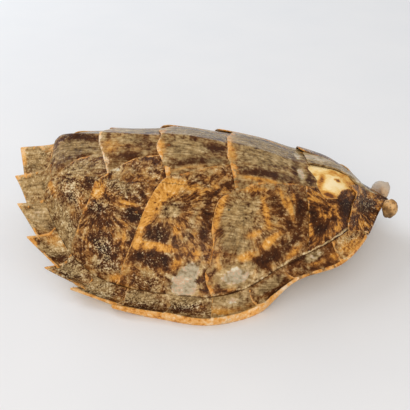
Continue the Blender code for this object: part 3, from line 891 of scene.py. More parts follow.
# The flank plates' upper edges, from the rear forwards.
SIDES_SEEN = {
    "E": ((53.6, 178), (64, 169), (74, 161)),
    "D": ((95.7, 180.7), (104.6, 175.4), (112.7, 169.1), (124.3, 162.9), (139.5, 155.7)),
    "C": (
        (152.6, 193.3), (157.4, 186.6), (163.2, 180.8), (170.8, 176), (181.3, 174.1), (193.8, 170.3),
        (205.3, 167.4)),
    "B": (
        (214, 213), (217.7, 202), (223.4, 196.1), (240, 190.2), (252.8, 184.4), (263.6, 181.9),
        (278, 183.1), (297.4, 183.1), (311, 183.7)),
}
# Bends of the bare patch's lower edge, where the horn has broken off.
BREAK_SEEN = ((317.4, 187.9), (329.3, 198.4), (336.3, 197.7))
NECK_CORNER_SEEN = (358.2, 184.2)  # the neck plate's upper front corner
REARS = {name: seen_at(*pixels) for name, pixels in REARS_SEEN.items()}
SIDES = {name: seen_at(*pixels) for name, pixels in SIDES_SEEN.items()}
print("rear edges:", {name: tuple(round(number, 2) for number in edge[0]) for name, edge in REARS.items()})

# %% Seams of the flank plates
FLANK_PLATES = (
    dict(
        name="E", centre=(0.3, 0.3),
        rear=(*REARS["E"], (1.91, 2.2)),
        front=((4.3, 0.42), (4.95, 0.75), (4.75, 1.0), (4.6, 1.3), (4.5, 1.7), (4.2, 2.2)),
        medial=(*SIDES["E"], (3.3, 0.5), (4.3, 0.42)),
    ),
    dict(
        name="D", centre=(0.22, 0.3),
        rear=(*REARS["D"], (4.0, 2.2)),
        front=((6.7, 0.38), (6.95, 0.75), (6.75, 1.05), (6.55, 1.3), (6.4, 1.6), (6.02, 1.95), (5.9, 2.2)),
        medial=(*SIDES["D"], (6.5, 0.4), (6.7, 0.38)),
    ),
    dict(
        name="C", centre=(0.25, 0.3),
        rear=(*REARS["C"], (5.7, 2.2)),
        front=((8.62, 0.42), (8.88, 0.82), (8.4, 1.15), (8.2, 1.43), (8.2, 1.7), (8.03, 1.95), (8.2, 2.2)),
        medial=(*SIDES["C"], (8.42, 0.45), (8.62, 0.42)),
    ),
    dict(
        name="B", centre=(0.32, 0.28),
        rear=(*REARS["B"], (8.0, 2.2)),
        front=((11.2, 0.55), (11.0, 0.8), (10.92, 1.05), (10.8, 1.39), (10.7, 1.70), (10.65, 2.2)),
        medial=(*SIDES["B"], (11.2, 0.55)),
    ),
)
LAST_CORNER = (10.85, 0.62)  # (u, v) of the foremost flank plate's upper rear corner
LAST_FRONT_CORNER = (13.05, 1.0)
LAST_FLANK_REAR = (LAST_CORNER, *REARS["A"], (10.48, 2.2))
LAST_FLANK_FRONT = (
    LAST_FRONT_CORNER, (12.8, 1.25), (12.45, 1.43), (12.08, 1.78), (11.9, 1.96), (11.8, 2.2))
break_bends = seen_at(*BREAK_SEEN)
BROKEN_SIDE = (
    LAST_CORNER, break_bends[0], (11.35, 0.9), *break_bends[1:], (12.34, 0.74), (12.7, 0.72),
    LAST_FRONT_CORNER)
WHOLE_SIDE = (LAST_CORNER, SIDES["B"][-1], (11.8, 0.52), (12.5, 0.55), LAST_FRONT_CORNER)
NECK_REAR = (
    (12.75, 0.62), (12.9, 1.0), *REARS["N"], (11.66, 2.2), (11.9, 2.4), (12.15, 2.8), (12.2, 3),
    (12.2, 3.8))
NECK_FRONT = (
    (13.3, 0.62), *seen_at(NECK_CORNER_SEEN), (13.72, 1.3), (13.8, 1.8), (13.9, 2.4), (14, 2.8), (14, 3.8))
NECK_FRONT_WHOLE = ((13.0, 1.0), (13.4, 1.5), (13.8, 2.2), (14, 2.8), (14, 3.8))
CREASE_V = 0.9  # v of the crease that three flank plates have along the shoulder
CREASE_MM = 60  # mm for each step of 1 in v there
CURL = {1: 2.4, -1: 0.3}  # mm that a flank plate's upper rear corner has curled up, left and right


def signed(table, side):
    return tuple((u, side * v) for u, v in table)


# %% Draw the flank plates' sheets
def flank_sheet(sheets, plate, side, number):
    p, q = crowded(54), crowded(54, free_end=True)
    place = coons(
        plate["rear"], plate["front"], plate["medial"],
        (plate["rear"][-1], plate["front"][-1]), p, q)
    solid = laid(place)
    length = np.linalg.norm(solid[-1] - solid[0], axis=1).mean()
    width = np.linalg.norm(solid[:, -1] - solid[:, 0], axis=1).mean()
    fade_p, fade_q = np.clip(1 - p / 0.12, 0, 1) ** 2, np.clip(1 - q / 0.10, 0, 1) ** 2
    place[..., 0] += 0.016 * fade_p[:, None] * ragged(q * width, number)[None, :]
    place[..., 1] += 0.010 * fade_q[None, :] * ragged(p * length, number + 0.5)[:, None]
    P, Q = np.meshgrid(p, q, indexing="ij")
    under = plate.get("under", 0.93)
    ramp = np.clip(1 - P / under, 0, 1) ** LEDGE_FADE - LEDGE_SINK
    height = LEDGE * plate.get("height", 1) + LEDGE_CORNER * (1 - Q)
    lift = height * ramp + CURL[side] * np.clip(1 - P / 0.5, 0, 1) ** 2 * np.clip(1 - Q / 0.35, 0, 1) ** 2
    lift -= edge_round(P) + edge_round(Q) * (1 - 0.6 * P)
    lift += (-GROOVE - lift) * smooth_step(Q, 0.955, 1.0)
    crease = (place[..., 1] - CREASE_V) * CREASE_MM if plate["name"] in "CDE" else 99
    place[..., 1] *= side
    solid[..., 1] *= side
    sheets.add(
        squeezed(place), solid, p, q, lift, np.zeros(lift.shape + (3,)), plate["centre"],
        plate["name"], number, side < 0, crease=crease)


def squeezed(place):
    return np.stack(squeeze(place[..., 0], place[..., 1]), -1)


flank_sheets = Sheets()
for side in (1, -1):
    for k, plate in enumerate(FLANK_PLATES):
        flank_sheet(flank_sheets, plate, side, 10 * (2 + side) + k)
    last = dict(
        name="A", height=0.8, centre=(0.3, 0.3), rear=LAST_FLANK_REAR, front=LAST_FLANK_FRONT,
        medial=WHOLE_SIDE if side > 0 else BROKEN_SIDE, under=0.9)
    flank_sheet(flank_sheets, last, side, 10 * (2 + side) + 5)

# %% [markdown]
# ## Rim plates
#
# Twelve plates a side edge the shell. Each wraps round the rim to its underside, and from the flanks
# backwards its rear corner stands out as a saw tooth, which the next tooth behind comes out from
# under. A pair of neck plates closes the front.

# %% Draw the rim plates' sheets
# How far each plate's tooth reaches, from the tail forwards: mm along x, and mm outwards.
TEETH = ((-1, 0), (-8.5, 0), (-9, 0), (-8.5, 2), (-9, 3.5), (-9.5, 3), (-3, 3))
TOOTH_FADE = 1.5  # how fast a tooth falls off forwards
RIM_UNDERLAP = 0.12  # how far, in u, a rim plate runs on under the next
RIM_START = {0: 1.75, 1: 1.32}  # v where the two rearmost begin, under the last back plate


def rim_plate_v(start, count_top, count_edge):
    top = start + (3 - start) * crowded(count_top)
    edge = np.linspace(3, UNDER_V, count_edge)[1:]
    return np.concatenate([top, edge])


def rim_sheet(sheets, j, side, number):
    start = RIM_START.get(j, 2.2)
    p, v = crowded(26), rim_plate_v(start, 18, 16)
    q = (v - v[0]) / (v[-1] - v[0])
    share = np.clip((v - start) / (3 - start), 0, 1)
    P, S = np.meshgrid(p, share, indexing="ij")
    V = np.broadcast_to(v, P.shape)
    place = np.stack([j + P * (1 + RIM_UNDERLAP), V], -1)
    waver = ragged(v * 30, number, 0.5)
    place[..., 0] += 0.02 * (np.clip(1 - p / 0.15, 0, 1) ** 2)[:, None] * waver[None, :]
    place[..., 0] = np.clip(place[..., 0], 0, LAST_U)
    solid = laid(place)
    ramp = np.clip(1 - P * (1 + RIM_UNDERLAP), 0, 1) ** LEDGE_FADE - LEDGE_SINK
    lift = (LEDGE_RIM * ramp * (1 - S / 2) - edge_round(P) * 0.8) * (1 - smooth_step(V, 3.0, 3.3))
    lift -= 0.5 * edge_round(P) * smooth_step(V, 3.0, 3.3)
    lift += (-GROOVE - 0.3 - lift) * (1 - smooth_step(S, 0.0, 0.07))
    back, out = TEETH[j] if j < len(TEETH) else (0, 0)
    reach = np.zeros(lift.shape + (3,))
    fade = np.clip(1 - P * (1 + RIM_UNDERLAP), 0, 1) ** TOOTH_FADE * S**2
    reach[..., 0], reach[..., 1] = back * fade, side * out * fade
    place[..., 1] *= side
    solid[..., 1] *= side
    solid += reach
    lip = smooth_step(V, 2.86, 2.97)
    sheets.add(
        squeezed(place), solid, p, q, lift, reach, (0.1, 0.5), "M%d" % (12 - j), number, side < 0,
        lip=lip * LIP.get("M%d" % (12 - j), 0))


def neck_sheet(sheets, side, number):
    """The plate beside the neck, from the last flank plate round the rim to the middle."""
    p, q = crowded(34, free_end=False), crowded(64)
    rear, front = (NECK_REAR, NECK_FRONT) if side < 0 else (NECK_REAR[1:], NECK_FRONT_WHOLE)
    place = coons(rear, front, (rear[0], front[0]), (rear[-1], front[-1]), p, q)
    solid = laid(place)
    P, Q = np.meshgrid(p, q, indexing="ij")
    V = place[..., 1]
    lift = (1.3 * ((1 - P) ** LEDGE_FADE - 0.25) - edge_round(P)) * (1 - smooth_step(V, 2.9, 3.3))
    place[..., 1] *= side
    solid[..., 1] *= side
    sheets.add(
        squeezed(place), solid, p, q, lift, np.zeros(lift.shape + (3,)), (0.2, 0.3), "N", number, side < 0)


rim_sheets = Sheets()
for side in (1, -1):
    for j in range(12):
        rim_sheet(rim_sheets, j, side, 10 * (5 + side) + j)
    neck_sheet(rim_sheets, side, 10 * (5 + side) + 15)

# %% [markdown]
# ## Back plates
#
# Five plates run along the keel, and each crosses it in one piece. In plan their outlines are plain
# shapes, so they are drawn there: the seams are still pairs (u, v), turned into plan by the skin. The
# foremost has lost its right half, and its edge runs along the keel and across the neck.

# %% Seams of the back plates
REAR_OF_LAST = ((0.02, 2.0), (0.6, 1.85), (1.3, 1.62), (1.95, 1.45))
BACK_REARS = tuple(((REARS[name][0][0], 0), *REARS[name][1:]) for name in ("V4", "V3", "V2"))
BACK_FRONTS = (
    ((3.75, 0), (3.85, 0.14), (4.25, 0.38)),
    ((6.75, 0), (6.68, 0.2), (6.75, 0.36)),
    ((8.68, 0), (8.66, 0.2), (8.65, 0.40)),
)
BACK_SIDES = (
    ((1.95, 1.45), *SIDES["E"][1:], (3.3, 0.5), (4.25, 0.38)),
    (REARS["V4"][-1], *SIDES["D"][2:], (6.5, 0.4), (6.75, 0.36)),
    (REARS["V3"][-1], *SIDES["C"][3:], (8.42, 0.45), (8.65, 0.4)),
    (REARS["V2"][-1], *SIDES["B"][4:], (11.3, 0.53)),
)
BROKEN_FRONT = (
    (11.36, -0.70), (11.26, -0.53), (11.32, -0.45), (11.20, -0.27), (11.06, -0.12), (11.2, 0.0),
    (11.35, 0.3), (11.3, 0.53),
)
FIRST_REAR = ((11.1, 0.0), (11.08, 0.2), (11.0, 0.54))
CRACK = (
    (11.1, 0), (12.15, 0), (13.3, -0.02), (13.55, -0.3), (13.66, -0.85), (13.72, -1.3), (13.8, -1.8),
    (13.9, -2.4), (13.97, -2.8),
)
FIRST_SIDE = (
    (11.0, 0.54), (11.8, 0.50), (12.5, 0.55), (12.95, 0.98), (13.45, 1.5), (13.8, 2.2), (13.97, 2.8),
)
SIDE_TUCK = 3.0  # mm that a back plate runs on under the flank plates


def both_sides(table):
    """The line on the right flank, mirrored, and then on the left, from right to left."""
    return tuple((u, -v) for u, v in reversed(table) if v > 0) + tuple(table)


def in_plan(table):
    """Pairs (u, v) as pairs (x, y) in millimetres."""
    u, v = np.array(table, float).T
    return skin(u, v)[:, :2]


# %% Draw the back plates' sheets
def back_sheet(sheets, rear, front, right, left, name, number, height, free_right=False):
    p = crowded(56)
    q = crowded(64, free_start=free_right)
    place = coons(in_plan(rear), in_plan(front), in_plan(right), in_plan(left), p, q)
    width = np.ptp(place[0, :, 1])
    place[..., 0] += 0.5 * (np.clip(1 - p / 0.12, 0, 1) ** 2)[:, None] * ragged(q * width, number)[None, :]
    outwards = smooth_step(q, 0.9, 1) - (0 if free_right else smooth_step(1 - q, 0.9, 1))
    place[..., 1] += SIDE_TUCK * outwards[None, :]
    if free_right:
        jag = ragged(p * np.ptp(place[:, 0, 0]), number + 0.7, 1.4)
        place[..., 1] += (np.clip(1 - q / 0.15, 0, 1) ** 2)[None, :] * jag[:, None]
    P, Q = np.meshgrid(p, q, indexing="ij")
    ramp = np.clip(1 - P / 0.94, 0, 1) ** LEDGE_FADE - LEDGE_SINK
    tuck = 1 - smooth_step(1 - Q if free_right else np.minimum(Q, 1 - Q), 0.01, 0.05)
    lift = LEDGE * height * ramp - edge_round(P) - 1.2 * tuck
    if free_right:
        lift -= edge_round(Q)
    solid = np.dstack([place, np.zeros(lift.shape)])
    sheets.add(place * MM, solid, p, q, lift, np.zeros(lift.shape + (3,)), (0.3, 0.5), name, number, False)


back_sheets = Sheets()
rears = [both_sides(rear) for rear in (REAR_OF_LAST,) + BACK_REARS]
fronts = [both_sides(front) for front in BACK_FRONTS] + [BROKEN_FRONT]
for k, (rear, front, left) in enumerate(zip(rears, fronts, BACK_SIDES)):
    right = signed(left, -1)
    if front is BROKEN_FRONT:
        right = right[:-2] + front[:1]
    back_sheet(back_sheets, rear, front, right, left, "V%d" % (5 - k), 70 + k, 1.0)
back_sheet(
    back_sheets, FIRST_REAR, (CRACK[-1], FIRST_SIDE[-1]), CRACK, FIRST_SIDE, "V1", 75, 0.8, free_right=True)
print("sheets drawn:", flank_sheets.count, rim_sheets.count, back_sheets.count, "points")

# %% [markdown]
# ## Tortoiseshell under varnish
#
# Horn is keratin: clear amber where there is no pigment, nearly black where there is much. It could
# be painted with an image, but streaks that follow each plate's growth come for free from noise that
# is read along the rays from the place where the plate began. One value runs from dark to amber, and
# a colour ramp turns it to horn. On it lie the olive bloom and the grey rubbed patches, and over all
# an old varnish, which is the clear coat.

# %% Sums and blank materials
def sum_of(tree, rest, *layers):
    """rest, plus each value times its weight."""
    for value, weight in layers:
        rest = add(tree, "ShaderNodeMath", (value, weight, rest), operation="MULTIPLY_ADD")
    return rest


def blank_material(name):
    """A new material, its tree and its shader."""
    material = bpy.data.materials.new(name)
    material.use_nodes = True
    return material, material.node_tree, material.node_tree.nodes["Principled BSDF"]


# %% Varnished tortoiseshell horn
# Keratin, grown in layers and later varnished: deep and glossy, dull where it is rubbed.
STREAKS = 6.0  # streaks in the sixth part of a turn round a plate's growth centre
STREAK_LENGTH = 14.0  # mm
CENTRE = (4.0, 22.0)  # mm from the growth centre, between which streaks take over from mottling
CLOUD, MOTTLE, FLECK, GRAIN = 0.011, 0.0065, 0.0032, 0.0015  # metres
SCRATCH = (70, 700, 350)  # fine slanting lines: waves per metre along, across and down
SCRATCH_TURN = math.radians(-35)
FLAMES = (
    (0.22, "281002"), (0.37, "4a2609"), (0.455, "70441c"), (0.52, "a0682a"), (0.60, "c68a38"),
    (0.72, "dda350"), (0.9, "edca92"))
BLOOM = ((0.15, "3c2c18"), (0.33, "705936"), (0.5, "968056"), (0.66, "b9a276"), (0.85, "e2d3ac"))
CLEAR_HORN = ((0.1, "a4642e"), (0.36, "e3a14c"), (0.58, "ebbb7c"), (0.85, "f3dfbf"))
RUBBED = (
    (0.15, "86765a"), (0.34, "a79a7f"), (0.48, "b9b097"), (0.58, "c9a183"), (0.7, "c8c1a8"),
    (0.88, "dbd5c0"))
DRY_SPECKS = ((0.25, "9c7f54"), (0.5, "d4bd8e"), (0.75, "f3e6c4"))
HOLE_SEEN = (228.7, 210.3)  # pixel of the one small hole, in plate B
HOLE = Vector(right_flank[number_at(HOLE_SEEN)]) * MM


def varnished_tortoiseshell_horn():
    material, tree, shader = blank_material("varnished_tortoiseshell_horn")
    spot = add(tree, "ShaderNodeTexCoord").outputs["Object"]
    ray, edge, glow, tint, marks, seam = (
        add(tree, "ShaderNodeSeparateXYZ", (
            add(tree, "ShaderNodeAttribute", attribute_name=name).outputs["Vector"],)).outputs
        for name in ("ray", "edge", "glow", "tint", "marks", "seam"))
    specks, crease, plate = marks
    cloud, mottle, small, grain = (
        add(tree, "ShaderNodeTexNoise", {
            "Vector": spot, "Scale": 1 / size, "Detail": 3.0, "Roughness": 0.65}, normalize=False)
        for size in (CLOUD, MOTTLE, FLECK, GRAIN))
    warp = add(tree, "ShaderNodeTexNoise", {"Vector": spot, "Scale": 60.0}).outputs["Color"]

    def streaks(count, length, waver):
        """Noise along the rays of growth, bent a little."""
        flow = add(tree, "ShaderNodeCombineXYZ", (
            sum_of(tree, 0.0, (ray[0], count)), sum_of(tree, 0.0, (ray[1], count)),
            sum_of(tree, 0.0, (ray[2], 1 / length), (plate, 7.31))))
        bent = add(
            tree, "ShaderNodeVectorMath", (warp, (waver, waver, waver), flow), operation="MULTIPLY_ADD")
        return add(tree, "ShaderNodeTexNoise", {
            "Vector": bent, "Scale": 1.0, "Detail": 4.0, "Roughness": 0.65}, normalize=False)

    outer = add(tree, "ShaderNodeMapRange", (ray[2], *CENTRE), interpolation_type="SMOOTHSTEP")
    outer = add(tree, "ShaderNodeMath", (outer, seam[2]), operation="MULTIPLY")
    slant = add(tree, "ShaderNodeMapping", {
        "Vector": spot, "Rotation": (0, 0, SCRATCH_TURN), "Scale": SCRATCH})
    scratch = add(tree, "ShaderNodeTexNoise", {"Vector": slant, "Scale": 1.0, "Detail": 3.0}, normalize=False)
    pattern = add(tree, "ShaderNodeMix", {
        "Factor": outer, "A": mottle, "B": streaks(STREAKS, STREAK_LENGTH, 2.0)})
    fleck = add(tree, "ShaderNodeMix", {
        "Factor": outer, "A": small, "B": streaks(STREAKS * 2.2, STREAK_LENGTH / 2.5, 3.0)})

    gritty = add(tree, "ShaderNodeMath", (grain, specks), operation="MULTIPLY")
    amber = add(tree, "ShaderNodeMath", (tint[0], 0.0), operation="MAXIMUM")
    blotch = add(tree, "ShaderNodeMath", (
        tint[0], sum_of(tree, 0.9, (pattern, 0.35), (fleck, 0.4))), operation="MULTIPLY")
    lively = add(tree, "ShaderNodeMath", (
        sum_of(tree, 0.0, (pattern, 0.19), (fleck, 0.16)),
        sum_of(tree, 0.35, (seam[2], 1.0), (amber, -0.35))), operation="MULTIPLY")
    value = sum_of(tree, 0.485, (blotch, 0.18), (cloud, 0.05), (lively, 1.0), (grain, 0.02), (gritty, 0.10))
    colour = add(tree, "ShaderNodeValToRGB", (value,), stops=FLAMES)

    # Bloom is dry horn, olive and dull, and on the left flank also painted sheen. It keeps off the darkest
    # horn and off the amber.
    light = add(tree, "ShaderNodeMath", (value, 0.52), operation="MINIMUM")
    cover = sum_of(
        tree, 0.0, (light, 5.0), (tint[1], 1.0), (tint[2], 0.8), (amber, -0.9), (cloud, 0.4), (fleck, 0.25))
    bloom = add(tree, "ShaderNodeMapRange", (cover, 2.2, 3.5), interpolation_type="SMOOTHSTEP")
    dry = sum_of(
        tree, 0.47, (mottle, 0.14), (cloud, 0.08), (grain, 0.02), (gritty, 0.14), (fleck, 0.12),
        (scratch, 0.2), (tint[2], 0.16), (tint[0], 0.10))
    colour = add(tree, "ShaderNodeMix", {
        "Factor": sum_of(tree, 0.0, (bloom, 0.82)), "A": colour,
        "B": add(tree, "ShaderNodeValToRGB", (dry,), stops=BLOOM)}, data_type="RGBA")

    # Specks stand in the streaks: partly dry horn, and partly painted glints of light on the rough varnish.
    scatter = sum_of(tree, 0.0, (specks, 0.15), (grain, 0.28), (fleck, 0.2))
    speck_and_glint = add(tree, "ShaderNodeMapRange", (scatter, 0.2, 0.42), interpolation_type="SMOOTHSTEP")
    colour = add(tree, "ShaderNodeMix", {
        "Factor": sum_of(tree, 0.0, (speck_and_glint, 0.8)), "A": colour,
        "B": add(tree, "ShaderNodeValToRGB", (sum_of(tree, 0.5, (mottle, 0.3)),), stops=DRY_SPECKS)},
        data_type="RGBA")

    # Rubbed patches are smooth and grey, with islands of pink horn left in them.
    rubbed = sum_of(tree, 0.0, (tint[2], 1.0), (mottle, 0.2), (cloud, 0.25), (scratch, 0.1))
    worn = add(tree, "ShaderNodeMapRange", (rubbed, 0.85, 1.05), interpolation_type="SMOOTHSTEP")
    shade = sum_of(tree, 0.47, (cloud, 0.22), (mottle, 0.26), (scratch, 0.14), (small, 0.1))
    colour = add(tree, "ShaderNodeMix", {
        "Factor": sum_of(tree, 0.0, (worn, 0.85)), "A": colour,
        "B": add(tree, "ShaderNodeValToRGB", (shade,), stops=RUBBED)}, data_type="RGBA")

    # Along the free edges and the rim's lip the horn is a single clear layer: amber of its own, and painted
    # bright for the glow of light shining through it.
    rear, medial = (
        add(tree, "ShaderNodeMath", (sum_of(tree, 0.5, (edge[k], 1.0)), glow[k]), operation="DIVIDE")
        for k in (0, 1))
    nearest = add(tree, "ShaderNodeMath", (rear, medial), operation="MINIMUM")
    near = add(tree, "ShaderNodeMath", (nearest, 3.0), operation="MINIMUM")
    inwards_of = sum_of(tree, 0.0, (near, 1.0), (edge[2], -3.0), (cloud, 1.6), (mottle, 0.8), (fleck, 0.6))
    clear = add(tree, "ShaderNodeMapRange", (inwards_of, 1.2, 0.1), interpolation_type="SMOOTHSTEP")
    shade = sum_of(tree, 0.34, (glow[2], 0.45), (mottle, 0.28), (small, 0.2))
    colour = add(tree, "ShaderNodeMix", {
        "Factor": sum_of(tree, 0.0, (clear, 0.85)), "A": colour,
        "B": add(tree, "ShaderNodeValToRGB", (shade,), stops=CLEAR_HORN)}, data_type="RGBA")

    # Painted shade darkens the groove between flank and rim plates, and a pale seam lies above it.
    wavering = sum_of(tree, 0.0, (seam[0], 1.0), (cloud, 1.2), (mottle, 0.7))
    groove_shade = add(tree, "ShaderNodeMapRange", (wavering, 1.5, 0.7), interpolation_type="SMOOTHSTEP")
    colour = add(tree, "ShaderNodeMix", {
        "Factor": sum_of(tree, 0.0, (groove_shade, 0.75)), "A": colour, "B": hex_colour("2e1d0f")},
        data_type="RGBA")
    from_seam = add(tree, "ShaderNodeMath", (sum_of(tree, -2.2, (wavering, 1.0)),), operation="ABSOLUTE")
    pale = add(tree, "ShaderNodeMapRange", (from_seam, 1.3, 0.5), interpolation_type="SMOOTHSTEP")
    broken = add(tree, "ShaderNodeMapRange", (sum_of(tree, seam[1], (cloud, 0.5), (mottle, 0.4)), 0.3, 0.9))
    pale = add(tree, "ShaderNodeMath", (pale, broken), operation="MULTIPLY")
    colour = add(tree, "ShaderNodeMix", {
        "Factor": sum_of(tree, 0.0, (pale, 0.85)), "A": colour, "B": add(tree, "ShaderNodeValToRGB", (
            sum_of(tree, 0.4, (small, 0.4)),), stops=DRY_SPECKS)}, data_type="RGBA")

    # Painted shade: a dark line along a crease on the shoulder, and the dark inside one small hole; both are
    # dented by the bump too.
    bent = sum_of(tree, 0.0, (crease, 1.0), (cloud, 1.8), (mottle, 1.2))
    off = add(tree, "ShaderNodeMath", (bent,), operation="ABSOLUTE")
    fold = add(tree, "ShaderNodeMapRange", (off, 0.6, 0.1), interpolation_type="SMOOTHSTEP")
    away = add(tree, "ShaderNodeVectorMath", (spot, HOLE), operation="DISTANCE").outputs["Value"]
    hole = add(tree, "ShaderNodeMapRange", (away, 0.0016, 0.0011))
    pit = add(tree, "ShaderNodeMath", (sum_of(tree, 0.0, (fold, 0.5)), hole), operation="MAXIMUM")
    colour = add(tree, "ShaderNodeMix", {
        "Factor": pit, "A": colour, "B": hex_colour("24170c")}, data_type="RGBA")

    dull = add(tree, "ShaderNodeMath", (bloom, worn), operation="MAXIMUM")
    rough = sum_of(tree, 0.4, (dull, 0.12), (grain, 0.06))
    relief = sum_of(
        tree, 0.0, (grain, 0.08), (gritty, 0.25), (mottle, 0.3), (fleck, 0.15), (scratch, 0.1), (fold, -0.5),
        (hole, -2.0))
    bump = add(tree, "ShaderNodeBump", {"Height": relief, "Strength": 0.7, "Distance": 0.0008})
    plug(shader, {
        "Base Color": colour, "Roughness": rough, "Normal": bump, "Coat Normal": bump, "IOR": 1.54,
        "Specular IOR Level": 0.05, "Specular Tint": hex_colour("ffe2bc"), "Coat Weight": 0.75,
        "Coat Roughness": 0.16, "Coat IOR": 1.24})
    return material


# %% Lay them on
def lay(name, sheets, horn, from_above, seed, wave_height=0.5, waves_per_metre=38.0):
    """Runs the laying tree on the sheets and keeps the result as a plain mesh."""
    thing = put(name, sheets.mesh(name))
    modifier = thing.modifiers.new("lay on", "NODES")
    tree = modifier.node_group = trees[from_above]
    values = {
        "Skin": guide, "Thickness": HORN * MM, "Wave height": wave_height * MM,
        "Waves per metre": waves_per_metre, "Seed": (seed, 2.0 * seed, 0.0), "Horn": horn,
    }
    for item in tree.interface.items_tree:
        if item.item_type == "SOCKET" and item.in_out == "INPUT" and item.name in values:
            modifier[item.identifier] = values[item.name]
    bpy.context.view_layer.update()
    evaluated = thing.evaluated_get(bpy.context.evaluated_depsgraph_get())
    plain = bpy.data.meshes.new_from_object(evaluated)
    thing.modifiers.remove(modifier)
    thing.data = plain
    plain.name = name
    plain.shade_smooth()
    print(name + ":", len(plain.loop_triangles) or len(plain.polygons) * 2, "triangles")
    return thing


horn = varnished_tortoiseshell_horn()
flank_plates = lay("flank_plates", flank_sheets, horn, False, 3.0)
rim_plates = lay("rim_plates", rim_sheets, horn, False, 5.0, wave_height=0.3)
back_plates = lay("back_plates", back_sheets, horn, True, 8.0)

# %% [markdown]
# ## The bone
#
# Under the horn is one bony dome. It shows inside, as a backbone with eight pairs of ribs, and
# outside where a plate has broken off. It is a closed section, from the keel round the rim to the
# inside and back, moved from tail to neck and welded along the middle.

# %% Shape the bone
BONE_TOP = 2.15  # mm from the skin down to the bone, under the horn
BARE_TOP = 1.25  # mm from the skin down to the bare bone
BONE_INSIDE = 3.6
RIM_SINK = 1.0  # mm more, where the rim plates' grooves lie
RIM_INSET = 2.4  # mm from the rim's edge in to the bone
RIM_TUCK = 3.0  # mm more, behind the big saw teeth
RIBS_U = (2.3, 3.5, 4.8, 6.2, 7.7, 9.2, 10.7, 12.1)
RIB_HEIGHT = 1.6
RIB_HALF_WIDTH = 0.17  # in u
WINDOW_DEPTH = 0.9
BACKBONE_HEIGHT = 7.0
BACKBONE_HALF_WIDTH = 0.2  # in v
VERTEBRA_LENGTH = 27.0
OUTER_ROWS = 47  # of the bone's section, that lie outside


def bare_share(u, v):
    """1 in the bare patch on the right flank, 0 under the horn."""
    lengthwise = smooth_step(u, 10.75, 11.05) * (1 - smooth_step(u, 13.35, 13.7))
    across = smooth_step(-v, -0.02, 0.06) * (1 - smooth_step(-v, 0.8, 1.05))
    return lengthwise * across


def rib_share(u, v):
    ribs = sum(np.exp(-(((u - rib) / RIB_HALF_WIDTH) ** 2)) for rib in RIBS_U)
    return ribs * smooth_step(v, 0.1, 0.5) * (1 - smooth_step(v, 2.3, 2.8))


def window_share(u, v):
    """1 in the windows between the ribs' ends, where the bone of a young shell is thin."""
    between = 1 - np.clip(sum(np.exp(-(((u - rib) / 0.3) ** 4)) for rib in RIBS_U), 0, 1)
    return between * smooth_step(v, 1.75, 1.95) * (1 - smooth_step(v, 2.3, 2.45))


def guide_at(u, v):
    """Skin and outward direction, read from the guide's grid."""
    i = u / LAST_U * (len(guide_u) - 1)
    j = np.interp(v, guide_v, np.arange(len(guide_v)))
    i0, j0 = np.clip(i.astype(int), 0, len(guide_u) - 2), np.clip(j.astype(int), 0, len(guide_v) - 2)
    a, b = (i - i0)[:, None], (j - j0)[:, None]
    def mixed(grid):
        near = grid[i0, j0] * (1 - a) + grid[i0 + 1, j0] * a
        far = grid[i0, j0 + 1] * (1 - a) + grid[i0 + 1, j0 + 1] * a
        return near * (1 - b) + far * b
    return mixed(guide_grid), mixed(guide_out)


def bone_half(side):
    """Points of one half of the bone, from the keel outside, round the rim, to the keel inside."""
    us = np.linspace(0, LAST_U, 197)
    outer, inner = np.linspace(0, 2.84, OUTER_ROWS), np.linspace(2.8, 0, 55)
    rows, windows = [], []
    for v in outer:
        u, vs = us, np.full_like(us, side * v)
        point, out = guide_at(u, vs)
        bare = bare_share(u, vs)[:, None]
        depth = BONE_TOP + RIM_SINK * smooth_step(v, 1.9, 2.15) + (BARE_TOP - BONE_TOP) * bare
        rows.append(point - out * depth)
        windows.append(0 * us)
    rim, edge, wall = catmull_rom(RIM, us), catmull_rom(RIM_EDGE, us), catmull_rom(RIM_WALL, us)
    rim[:, 0] -= MIDDLE_X
    into = inwards(us)
    tuck = RIM_TUCK * smooth_step(us, 3.0, 4.0) * (1 - smooth_step(us, 5.9, 6.4))
    for inset, drop in ((RIM_INSET, 0.45), (RIM_INSET, 1.0), (wall + 0.9, 1.0)):
        point = rim + into * (inset + tuck[:, None])
        point[:, 2] = np.maximum(rim[:, 2] - np.maximum(edge[:, 0] - 1.0, 0.4) * drop - 0.8 * tuck, 0.9)
        point[:, 1] *= side
        rows.append(point)
        windows.append(0 * us)
    for v in inner:
        vs = np.full_like(us, side * v)
        point, out = guide_at(us, vs)
        backbone = BACKBONE_HEIGHT * np.exp(-((v / BACKBONE_HALF_WIDTH) ** 2))
        backbone = backbone * (0.85 + 0.15 * np.cos(point[:, 0] * 2 * math.pi / VERTEBRA_LENGTH))
        backbone *= smooth_step(us, 0.2, 2.0) * (1 - smooth_step(us, 12.8, 13.8))
        window = window_share(us, v)
        depth = BONE_INSIDE + RIM_SINK * smooth_step(v, 1.8, 2.05)
        depth = depth + RIB_HEIGHT * rib_share(us, v) - WINDOW_DEPTH * window
        rows.append(point - out * depth[:, None] - np.stack([0 * us, 0 * us, backbone], 1))
        windows.append(window)
    return np.array(rows), np.array(windows)


# %% Dried bone
# Bone, cleaned, dried and varnished: cream, fibrous, amber where varnish and the last of the horn
# have soaked in, and brown where it is thin enough for the plates to show through.
BONE = ((0.2, "6b3c16"), (0.34, "c4822f"), (0.47, "dfaa52"), (0.60, "f2cf86"), (0.85, "fbe6b4"))
INSIDE = ((0.3, "b08a58"), (0.5, "d3b483"), (0.7, "e9d3a8"))


